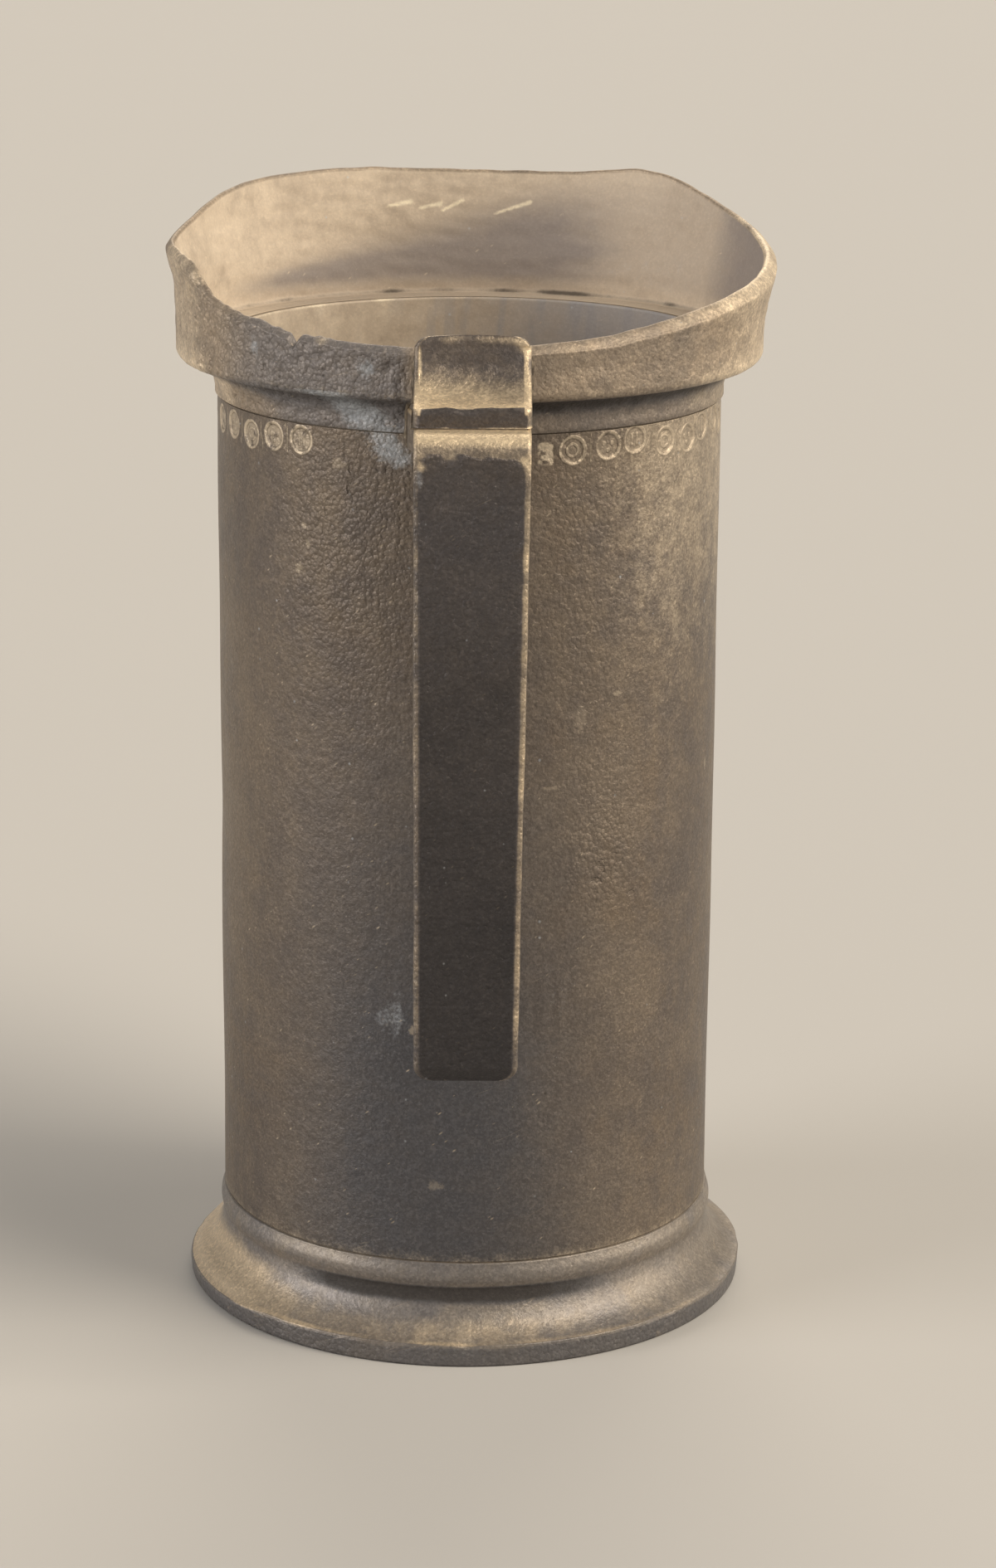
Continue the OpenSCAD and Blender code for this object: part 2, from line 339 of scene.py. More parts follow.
def round_angles(columns: int) -> tuple[Array, Array]:
    """Angles of the columns of a turned piece, and the same with the closing one, from the back."""
    every = np.linspace(-math.pi, math.pi, columns + 1)
    return every[:-1, None], every[:, None]


def run_length(points: Array, closed: bool) -> Array:
    """Running length along a line of points, in millimetres, with the closing one where closed."""
    line = np.concatenate([points, points[:1]]) if closed else points
    step = np.linalg.norm(np.diff(line, axis=0), axis=1)
    return np.concatenate([[0.0], np.cumsum(step)]) / MM


def rounded_box_ring(
    width: Array, depth: Array, rounding: Array, edge_points: int
) -> tuple[Array, Array]:
    """Section of a bar: a rectangle with round corners, one ring for each station.

    Each point is a corner's or a side's sign times the half size less the rounding, plus the
    rounding times the cosine or sine of its turn.

    Args:
        width: Width of each ring.
        depth: Depth of each ring.
        rounding: Radius of the corners of each ring.
        edge_points: Points on each corner; a side has twice as many, closer towards its ends.

    Returns:
        Place across and place in depth of every point, stations by points.
    """
    corner = np.linspace(0.0, 0.5 * math.pi, edge_points)
    run = np.sin(np.linspace(-0.5 * math.pi, 0.5 * math.pi, 2 * edge_points + 3)[1:-1])
    one, flat = np.ones(edge_points), np.ones(len(run))
    hold_u = np.concatenate([one, -run, -one, -flat, -one, run, one, flat])
    hold_v = np.concatenate([one, flat, one, -run, -one, -flat, -one, run])
    cos, sin = np.cos(corner), np.sin(corner)
    turn_u = np.concatenate([cos, 0.0 * run, -sin, -flat, -cos, 0.0 * run, sin, flat])
    turn_v = np.concatenate([sin, flat, cos, 0.0 * run, -sin, -flat, -cos, 0.0 * run])
    half_w, half_d = 0.5 * width - rounding, 0.5 * depth - rounding
    u = half_w[:, None] * hold_u + rounding[:, None] * turn_u
    v = half_d[:, None] * hold_v + rounding[:, None] * turn_v
    return u, v


# Shader graphs


def joined(operation: str, swapped: bool = False) -> Callable[..., "Value"]:
    """Method of a value that joins it with another one in a Math node.

    Args:
        operation: What the node does.
        swapped: Whether the other value comes first.

    Returns:
        The method.
    """

    def method(self: "Value", other: object = 0.0) -> "Value":
        """Adds the node."""
        pair = (other, self) if swapped else (self, other)
        made = self.graph.node("ShaderNodeMath", {"operation": operation}, dict(enumerate(pair)))
        return Value(self.graph, made.outputs[0])

    return method


class Value:
    """A socket of a shader graph whose arithmetic adds Math nodes."""

    __add__ = __radd__ = joined("ADD")
    __sub__ = joined("SUBTRACT")
    __rsub__ = joined("SUBTRACT", swapped=True)
    __mul__ = __rmul__ = joined("MULTIPLY")
    __truediv__ = joined("DIVIDE")
    __abs__ = joined("ABSOLUTE")
    most = joined("MAXIMUM")
    root = joined("SQRT")

    def __init__(self, graph: "Graph", socket: bpy.types.NodeSocket) -> None:
        """Keeps the graph and the socket."""
        self.graph = graph
        self.socket = socket

    def length(self, other: "Value") -> "Value":
        """Square root of the sum of two squares."""
        return (self * self + other * other).root()


class Graph:
    """Node tree of one material or world."""

    def __init__(self, owner: bpy.types.Material | bpy.types.World) -> None:
        """Keeps the owner and empties its tree."""
        self.owner = owner
        owner.use_nodes = True
        self.tree = owner.node_tree
        self.tree.nodes.clear()

    def node(
        self, kind: str, settings: dict[str, object], inputs: dict[object, object]
    ) -> bpy.types.Node:
        """Adds a node.

        Args:
            kind: Type of the node.
            settings: Its properties, which are set first.
            inputs: Values or links of its sockets, by name or number.

        Returns:
            The node.
        """
        made = self.tree.nodes.new(kind)
        for key, value in settings.items():
            setattr(made, key, value)
        for key, value in inputs.items():
            if isinstance(value, Value):
                self.tree.links.new(value.socket, made.inputs[key])
            elif isinstance(value, tuple) and made.inputs[key].type == "RGBA":
                made.inputs[key].default_value = (*value, 1.0)
            else:
                made.inputs[key].default_value = value
        return made

    def pick(self, made: bpy.types.Node, key: object = 0) -> Value:
        """One output of a node."""
        return Value(self, made.outputs[key])

    def scaled(self, vector: Value, factor: float) -> Value:
        """A vector times a number."""
        inputs = {0: vector, "Scale": factor}
        return self.pick(self.node("ShaderNodeVectorMath", {"operation": "SCALE"}, inputs))

    def place(self) -> Value:
        """Object coordinates in millimetres."""
        return self.scaled(self.pick(self.node("ShaderNodeTexCoord", {}, {}), "Object"), 1.0 / MM)

    def shifted(self, where: Value, reach: float, per_mm: float = 0.6) -> Value:
        """Place moved about by noise, so that cells on it lose their even shape.

        Args:
            where: Place in millimetres.
            reach: How far it moves, in millimetres.
            per_mm: Scale of the noise.

        Returns:
            The moved place.
        """
        inputs = {"Vector": where, "Scale": per_mm, "Detail": 2.0}
        made = self.node("ShaderNodeTexNoise", {"noise_dimensions": "3D"}, inputs)
        moved = {0: where, 1: self.scaled(self.pick(made, "Color"), reach)}
        return self.pick(self.node("ShaderNodeVectorMath", {"operation": "ADD"}, moved))

    def parts(self, vector: Value) -> tuple[Value, Value, Value]:
        """The three numbers of a vector."""
        made = self.node("ShaderNodeSeparateXYZ", {}, {0: vector})
        return self.pick(made, 0), self.pick(made, 1), self.pick(made, 2)

    def vector(self, x: object, y: object, z: object) -> Value:
        """A vector of three numbers."""
        return self.pick(self.node("ShaderNodeCombineXYZ", {}, {0: x, 1: y, 2: z}))

    def skin(self) -> tuple[Value, Value]:
        """Running lengths across and up the surface, in millimetres."""
        made = self.node("ShaderNodeUVMap", {"uv_map": "skin"}, {})
        across, up, _ = self.parts(self.pick(made))
        return across, up

    def stored(self, name: str, key: str = "Fac") -> Value:
        """A value that the mesh stores for each point."""
        return self.pick(self.node("ShaderNodeAttribute", {"attribute_name": name}, {}), key)

    def noise(self, where: Value, size: float, detail: float = 4.0, rough: float = 0.55) -> Value:
        """Cloudy noise from 0 to 1 whose largest clouds have that size in millimetres."""
        made = self.node(
            "ShaderNodeTexNoise",
            {"noise_dimensions": "3D"},
            {"Vector": where, "Scale": 1.0 / size, "Detail": detail, "Roughness": rough},
        )
        return self.pick(made, "Fac")

    def cells(self, where: Value, size: float) -> bpy.types.Node:
        """Cells of that size in millimetres, each with a random colour and the distance from its middle."""
        inputs = {"Vector": where, "Scale": 1.0 / size}
        return self.node("ShaderNodeTexVoronoi", {"feature": "F1"}, inputs)

    def dots(self, where: Value, size: float, reach: float, share: float) -> Value:
        """Scattered round dots: cells of that size, where a share of them holds a dot.

        Args:
            where: Place in millimetres.
            size: Size of a cell in millimetres.
            reach: Radius of a dot, in cells.
            share: Share of the cells with a dot.

        Returns:
            1 in the middle of a dot, 0 outside it.
        """
        cell = self.cells(where, size)
        pick, spread, _ = self.parts(self.pick(cell, "Color"))
        radius = 0.25 * reach + reach * spread
        near = 1.0 - self.ease(0.0, 1.0, self.pick(cell, "Distance") / radius)
        return near * self.ease(1.0 - share, 1.02 - share, pick)

    def cobbles(self, where: Value, size: float) -> Value:
        """Rounded lumps of that size in millimetres: 1 in the middle of a lump, lower in the creases."""
        far = self.pick(self.cells(where, size), "Distance")
        return 1.0 - far * far * 1.6

    def speckle(self, where: Value, size: float) -> Value:
        """Even random value from 0 to 1 for each cell of that size in millimetres."""
        return self.parts(self.pick(self.cells(where, size), "Color"))[0]

    def lines(
        self, across: Value, up: Value, tilt: float, long: float, apart: float, share: float
    ) -> Value:
        """Hairline scratches: level lines of noise that is drawn out along one direction.

        Args:
            across: Running length across the surface.
            up: Running length up the surface.
            tilt: Direction in degrees.
            long: Length of a scratch in millimetres.
            apart: Distance between scratches in millimetres.
            share: Share of the surface that has them.

        Returns:
            1 on a scratch, 0 elsewhere.
        """
        cos, sin = math.cos(math.radians(tilt)), math.sin(math.radians(tilt))
        along = (across * cos + up * sin) / long
        side = (up * cos - across * sin) / apart
        field = self.noise(self.vector(along, side, tilt), 1.0, 0.0)
        line = 1.0 - self.ease(0.0, 0.016, abs(field - 0.5))
        gate = self.noise(self.vector(along * 1.3, side * 0.4, tilt + 9.0), 1.0, 1.0)
        return line * self.ease(0.78 - 0.4 * share, 0.84 - 0.4 * share, gate)

    def seen(self) -> Value:
        """1 for rays of the camera and for mirrored or refracted ones, 0 for dull bounced light."""
        path = self.node("ShaderNodeLightPath", {}, {})
        mirrored = self.pick(path, "Is Glossy Ray").most(self.pick(path, "Is Transmission Ray"))
        return self.pick(path, "Is Camera Ray").most(mirrored)

    def ease(self, low: float, high: float, x: object) -> Value:
        """Soft step of a value from 0 at low to 1 at high."""
        made = self.node(
            "ShaderNodeMapRange",
            {"interpolation_type": "SMOOTHSTEP"},
            {"Value": x, "From Min": low, "From Max": high},
        )
        return self.pick(made)

    def mix(self, share: object, first: object, second: object, blend: str = "MIX") -> Value:
        """Mix of two colours."""
        settings = {"data_type": "RGBA", "blend_type": blend}
        return self.pick(self.node("ShaderNodeMix", settings, {0: share, 6: first, 7: second}), 2)

    def tinted(self, colour: object, factor: Colour) -> Value:
        """A colour times another one."""
        return self.mix(1.0, colour, factor, "MULTIPLY")

    def surface(
        self, colour: object, rough: object, metal: object, relief: object
    ) -> bpy.types.Material:
        """Ends the graph in a shader.

        Args:
            colour: Base colour.
            rough: Roughness.
            metal: Metallic.
            relief: Height of the fine relief in millimetres, or None.

        Returns:
            The finished material.
        """
        sockets: dict[object, object] = {"Base Color": colour, "Roughness": rough, "Metallic": metal}
        if relief is not None:
            bump = self.node("ShaderNodeBump", {}, {"Strength": 1.0, "Distance": MM, "Height": relief})
            sockets["Normal"] = self.pick(bump)
        shader = self.node("ShaderNodeBsdfPrincipled", {}, sockets)
        self.node("ShaderNodeOutputMaterial", {}, {0: self.pick(shader)})
        return self.owner


# Finishes


@dataclass(frozen=True)
class Patterns:
    """Values of a finish that its colour, its relief and its gloss share."""

    here: Value
    across: Value
    up: Value
    height: Value
    stored: dict[str, Value]
    cloud: Value
    mottle: Value
    grain: Value
    ragged: Value
    outer: Value
    cobbles: Value
    pits: Value
    blots: Value
    scratch: Value


@dataclass(frozen=True)
class Pewter:
    """Old pewter: a cloudy patina over metal that is worn bright where it is touched, with painted shade and
    painted highlights mixed in.

    A noise is given by the size of its clouds in millimetres, its detail and its roughness. Dots are
    given by the size of their cells in millimetres, their radius in cells and the share of cells that
    hold one. Depths are in millimetres.
    """

    name: str
    slot: str
    dark: Colour
    mid: Colour
    warm: Colour
    # Colour of bright metal, for wear and for painted highlights.
    worn_and_lit: Colour
    # Colour of the painted shade outside, which the stored shade value mixes in.
    shade_colour: Colour = (0.104, 0.097, 0.096)
    within: Colour = (0.50, 0.42, 0.31)
    # Colour of the painted shadow inside.
    inside_shadow: Colour = (0.39, 0.368, 0.358)
    bare: Colour = (0.98, 0.88, 0.68)
    # Colour of dirt, also used for painted shade in hollows and under edges.
    grime_and_shade: Colour = (0.040, 0.032, 0.026)
    bloom: Colour = (0.40, 0.41, 0.42)
    faded: Colour = (0.66, 0.645, 0.645)
    # Factors of the darker hollows, partly painted shade, and of the painted glints on grains.
    deepened: Colour = (0.46, 0.44, 0.44)
    lightened: Colour = (1.55, 1.52, 1.48)
    rough: float = 0.47
    metal: float = 0.55
    grain_depth: float = 0.085
    dimple_depth: float = 0.20
    cobble_depth: float = 0.16
    pit_depth: float = 0.08
    blot_depth: float = 0.02
    scratch_depth: float = 0.006
    pit_share: float = 0.25
    tear: float = 0.75
    fleck: float = 0.45
    hollow: float = 0.38
    sand: float = 0.38
    scratch: float = 0.25
    turning: float = 0.004
    cloud_noise: Triple = (30.0, 5.0, 0.62)
    stain_noise: Triple = (15.0, 4.0, 0.6)
    blotch_noise: Triple = (7.0, 4.0, 0.62)
    mottle_noise: Triple = (3.6, 5.0, 0.66)
    dimple_noise: Triple = (1.9, 3.0, 0.5)
    grain_noise: Triple = (0.60, 3.0, 0.68)
    turning_noise: Triple = (0.55, 3.0, 0.7)
    speck_dots: Triple = (3.3, 0.11, 0.30)
    blot_dots: Triple = (8.0, 0.07, 0.30)
    fleck_dots: Triple = (1.0, 0.24, 0.30)
    pit_cell: float = 1.15
    pit_reach: float = 0.36
    sand_cell: float = 0.42
    cobble_cell: float = 0.75
    cobble_shift: float = 0.5
    scratch_run: Triple = (24.0, 18.0, 2.0)

    def marks(self, g: Graph) -> tuple[Value | None, Value | None]:
        """Share of pale edge and height in millimetres of marks that this finish alone has."""
        return None, None

    def patterns(self, g: Graph) -> Patterns:
        """Adds the patterns that more than one socket reads.

        Args:
            g: Graph of the material.

        Returns:
            Places, values stored on the mesh, noises and dots.
        """
        here = g.place()
        across, up = g.skin()
        names = ("wear_and_highlight", "grime_and_shade", "bloom", "within", "shade", "coarse")
        stored = {name: g.stored(name) for name in names}
        mottle, grain = g.noise(here, *self.mottle_noise), g.noise(here, *self.grain_noise)
        outer = 1.0 - stored["within"] * 0.75
        pits = g.dots(here, self.pit_cell, self.pit_reach, self.pit_share)
        return Patterns(
            here, across, up, g.parts(here)[2], stored, g.noise(here, *self.cloud_noise), mottle, grain,
            ragged=(mottle - 0.5) * 0.9 + (grain - 0.5) * 0.5,
            outer=outer,
            cobbles=g.cobbles(g.shifted(here, self.cobble_shift), self.cobble_cell),
            pits=pits * (stored["coarse"] * 0.75 + 0.25) * outer,
            blots=g.dots(here, *self.blot_dots) * (1.0 - stored["within"]),
            scratch=g.lines(across, up, *self.scratch_run, self.scratch),
        )

    def patina(self, g: Graph, p: Patterns) -> Value:
        """Colour of untouched metal, outside and inside, with its painted shade, before wear and dirt.

        Args:
            g: Graph of the material.
            p: Its patterns.

        Returns:
            The colour: clouds of dark and mid, warm stains, a cool painted shade outside, painted shadow
                inside, and the paler inside.
        """
        x, y, _ = g.parts(p.here)
        stain = g.noise(g.vector(x + y * 0.6 + 71.0, p.height, 3.0), *self.stain_noise)
        streak = g.noise(g.vector(p.across * 0.40, p.height * 0.03, 5.0), 1.0, 3.0, 0.6)
        blotch = g.noise(p.here, *self.blotch_noise)
        shade = p.stored["shade"] + (p.cloud - 0.5) * 0.7
        clouded = p.cloud * 0.50 + blotch * 0.26 + p.mottle * 0.16 + streak * 0.08
        tone = g.mix(g.ease(0.38, 0.62, clouded), self.dark, self.mid)
        tone = g.mix(g.ease(0.48, 0.70, stain * 0.80 + p.mottle * 0.20) * 0.45, tone, self.warm)
        # Painted shade: the stored shade value darkens the outside towards the shade colour.
        tone = g.mix(g.ease(0.10, 0.95, shade + (p.mottle - 0.5) * 0.4), tone, self.shade_colour)
        faded = g.tinted(self.within, self.faded)
        inner = g.mix(g.ease(0.32, 0.64, p.cloud * 0.55 + p.mottle * 0.45), faded, self.within)
        # Painted shadow inside: the stored shade value darkens the inside towards this colour.
        inner = g.mix(g.ease(0.08, 1.0, shade + (p.mottle - 0.5) * 0.5), inner, self.inside_shadow)
        return g.mix(p.stored["within"], tone, inner)

    def sanded(self, g: Graph, p: Patterns, tone: Value) -> Value:
        """A colour with fine dark hollows and light grains over it: patina in the hollows, with painted shade
        in hollows and creases and painted glints on single grains.

        Args:
            g: Graph of the material.
            p: Its patterns.
            tone: Colour so far.

        Returns:
            The colour, deeper in low grain and creases, partly as painted shade, and lighter on single grains
            as painted glints.
        """
        # Painted shade in low grain and creases, partly patina, and painted glints on single lit grains.
        speckle = g.speckle(p.here, self.sand_cell)
        low = (1.0 - g.ease(0.36, 0.58, p.grain)) * self.hollow
        low = low.most((1.0 - g.ease(0.40, 0.95, p.cobbles)) * p.stored["coarse"] * 0.40)
        low = low.most((1.0 - g.ease(0.10, 0.60, speckle)) * self.sand)
        deep, light = g.tinted(tone, self.deepened), g.tinted(tone, self.lightened)
        tone = g.mix(g.ease(0.60, 1.0, speckle) * self.sand * p.outer, tone, light)
        return g.mix(low * p.outer, tone, deep)

    def relief(self, g: Graph, p: Patterns) -> Value:
        """Height of the fine relief in millimetres: grain, dimples, lumps, pits and scratches."""
        dimple = g.noise(p.here, *self.dimple_noise)
        turning = g.noise(g.vector(0.0, 0.0, p.height), *self.turning_noise)
        coarse = p.stored["coarse"]
        return (
            p.grain * p.outer * self.grain_depth
            + dimple * (coarse * 1.6 + 0.7) * p.outer * self.dimple_depth
            + p.cobbles * coarse * p.outer * self.cobble_depth
            + turning * self.turning
            - p.pits * self.pit_depth
            - p.scratch * self.scratch_depth
            - p.blots * self.blot_depth
        )

    def material(self) -> bpy.types.Material:
        """Builds the finish: clouds, dots, scratches, worn edges, painted shade and painted highlights over a
        dull metal.
        """
        g = Graph(bpy.data.materials.new(self.name))
        p = self.patterns(g)
        within = p.stored["within"]
        slant = g.vector((p.across * 0.8 + p.up * 0.6) / 2.2, (p.up * 0.8 - p.across * 0.6) / 0.8, 2.0)
        flecks = g.dots(slant, *self.fleck_dots) * g.ease(0.42, 0.62, p.mottle + p.stored["coarse"] * 0.15)
        whitened = g.ease(0.38, 1.0, p.stored["bloom"] * 0.85 + p.ragged * 1.25) * 0.75
        # Share of bright metal, from wear and from painted highlights.
        worn_and_lit = g.ease(0.16, 0.86, p.stored["wear_and_highlight"] + p.ragged * self.tear)
        # Share of dirt, and of painted shade, from the stored grime value.
        dirt_and_shade = g.ease(0.25, 0.85, p.stored["grime_and_shade"] + p.ragged * 0.55)
        tone = g.mix(whitened, self.patina(g, p), self.bloom)
        tone = g.mix(worn_and_lit, tone, g.mix(within, self.worn_and_lit, self.bare))
        tone = g.mix((p.scratch * 0.22).most(flecks * self.fleck), tone, self.worn_and_lit)
        tone = g.mix(g.dots(p.here, *self.speck_dots) * 0.6, tone, self.bloom)
        tone = g.mix((p.blots * 0.6).most(p.pits * 0.55), tone, self.grime_and_shade)
        tone = self.sanded(g, p, g.mix(dirt_and_shade * 0.85, tone, self.grime_and_shade))
        relief = self.relief(g, p)
        pale, extra = self.marks(g)
        if pale is not None:
            tone = g.mix(pale, tone, self.worn_and_lit)
            relief = relief + extra
        rough = self.rough + (p.mottle - 0.5) * 0.28 + (p.grain - 0.5) * 0.16 - worn_and_lit * 0.06 + dirt_and_shade * 0.15
        metal = self.metal - dirt_and_shade * 0.35 - whitened * 0.45 - within * 0.40
        return g.surface(tone, rough + within * 0.12, metal, relief)


class Motif(Enum):
    """What fills a struck mark."""

    DOTS = 0
    BARS = 1
    RING = 2
    BLANK = 3


@dataclass(frozen=True)
class StruckPewter(Pewter):
    """Pewter with small round struck marks in a row: rings filled with dots, bars or rings."""

    mark_radius: float = 2.3
    mark_height: float = 0.11
    spot_depth: float = 0.25
    spots: Table = ()

    def filling(self, g: Graph, x: Value, y: Value, kind: Value) -> Value:
        """What stands inside a mark: three dots, two bars or a ring, by the mark's number.

        Args:
            g: Graph of the material.
            x: Place across in the mark, in millimetres.
            y: Place up in the mark.
            kind: Number of its motif.

        Returns:
            1 on the motif, 0 elsewhere.
        """
        dot = 1.0 - g.ease(0.30, 0.52, (abs(x) - 0.8).length(y - 0.35))
        dot = dot.most(1.0 - g.ease(0.28, 0.50, x.length(y + 0.85)))
        upright = 1.0 - g.ease(0.16, 0.36, abs(abs(x) - 0.55))
        bar = upright * (1.0 - g.ease(0.95, 1.2, abs(y)))
        ring = 1.0 - g.ease(0.14, 0.34, abs(x.length(y) - 1.05))
        dots, bars, rings = (
            shape * (1.0 - g.ease(0.3, 0.5, abs(kind - float(motif.value))))
            for motif, shape in ((Motif.DOTS, dot), (Motif.BARS, bar), (Motif.RING, ring))
        )
        return dots + bars + rings

    def marks(self, g: Graph) -> tuple[Value | None, Value | None]:
        """Pale rim and filling of the struck marks, from each point's place in its nearest mark.

        Args:
            g: Graph of the material.

        Returns:
            Share of pale edge, and height in millimetres.
        """
        x, y, kind = g.parts(g.stored("mark", "Vector"))
        far = x.length(y)
        rim = 1.0 - g.ease(0.14, 0.48, abs(far - self.mark_radius))
        filling = self.filling(g, x, y, kind)
        chip = g.noise(g.place(), 1.4, 3.0, 0.6)
        bowl = 1.0 - g.ease(self.mark_radius - 0.5, self.mark_radius, far)
        across, _ = g.skin()
        right = g.ease(-8.0, 8.0, across)
        pale = rim.most(filling * 0.75).most(bowl * (0.62 - right * 0.45))
        pale = pale * g.ease(0.26, 0.56, chip) * (0.95 - right * 0.30)
        relief = (rim + filling) * self.mark_height
        height = g.parts(g.place())[2]
        rag = g.noise(g.place(), 1.1, 3.0, 0.65) - 0.5
        for at, up, wide, tall, share in self.spots:
            off = ((across - at) / wide).length((height - up) / tall)
            spot = 1.0 - g.ease(0.35, 1.0, off + rag * 2.2)
            if share > 0.0:
                pale = pale.most(spot * share)
            else:
                relief = relief + spot * self.spot_depth * share
        return pale, relief


@dataclass(frozen=True)
class Solder:
    """Soft solder: uneven dull metal, rubbed pale above a height in millimetres."""

    name: str
    slot: str
    dull: Colour
    bright: Colour
    rubbed: Colour = (0.60, 0.50, 0.37)
    rubbed_above: float = 400.0
    rough: float = 0.5

    def material(self) -> bpy.types.Material:
        """Builds the finish: bright where noise is high, dull elsewhere, with small lumps."""
        g = Graph(bpy.data.materials.new(self.name))
        here = g.place()
        lump = g.noise(here, 1.6, 4.0, 0.6)
        tone = g.mix(g.ease(0.35, 0.68, lump), self.dull, self.bright)
        above = g.ease(self.rubbed_above - 1.0, self.rubbed_above, g.parts(here)[2])
        tone = g.mix(above, tone, self.rubbed)
        return g.surface(tone, self.rough + (lump - 0.5) * 0.3, 0.7, lump * 0.09)


# Sub-assemblies


def node_span(node: str) -> tuple[Array, Array]:
    """Lowest and highest corner of a solid."""
    low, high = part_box(node)
    return np.array(low), np.array(high)


@dataclass(frozen=True)
class Frame:
    """Main sizes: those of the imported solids, then walls and laps, which their boxes don't show."""

    drum_r: float
    floor_top: float
    mouth: float
    foot_top: float
    foot_r: float
    neck_low: float
    rim_top: float
    rim_x: float
    rim_y: float
    shelf: float
    strap_low: float
    strap_out: float
    strap_half: float
    pad_low: float
    pad_top: float
    pad_front: float
    pad_half: float
    strut_low: float
    strut_high: float
    strut_half: float
    wall: float = 2.25 * MM
    spigot_wall: float = 1.1 * MM
    film: float = 0.2 * MM

    @classmethod
    def read(cls) -> "Frame":
        """Reads the boxes of the solids."""
        drum, foot, collar = node_span("drum"), node_span("foot_ring"), node_span("collar")
        strap, pad, strut = node_span("handle_strap"), node_span("handle_pad"), node_span("handle_strut")
        return cls(
            drum_r=drum[1][0],
            floor_top=drum[0][2],
            mouth=drum[1][2],
            foot_top=foot[1][2],
            foot_r=foot[1][0],
            neck_low=collar[0][2],
            rim_top=collar[1][2],
            rim_x=collar[1][0],
            rim_y=collar[1][1],
            shelf=strap[1][2],
            strap_low=strap[0][2],
            strap_out=-strap[0][1],
            strap_half=strap[1][0],
            pad_low=pad[0][2],
            pad_top=pad[1][2],
            pad_front=-pad[0][1],
            pad_half=pad[1][0],
            strut_low=strut[0][2],
            strut_high=strut[1][2],
            strut_half=strut[1][0],
        )

    @property
    def bore(self) -> float:
        """Inside radius of the drum."""
        return self.drum_r - self.wall

    @property
    def spigot(self) -> float:
        """Outside radius of the turned-down ends of the drum."""
        return self.bore + self.spigot_wall

    @property
    def socket(self) -> float:
        """Inside radius of the foot's and the collar's socket."""
        return self.spigot + self.film


class Assembly:
    """A sub-assembly, which builds its pieces and dresses them."""

    def dress(self, finish: Pewter | Solder, *pieces: bpy.types.Object) -> None:
        """Gives pieces a finish.

        Args:
            finish: Finish that all of them share.
            pieces: Pieces of this sub-assembly, or solids that are shown as they are.
        """
        material = finish.material()
        for piece in pieces:
            piece.data.materials.clear()
            piece.data.materials.append(material)
            log.info("dressed %s in %s", piece.name, finish.name)


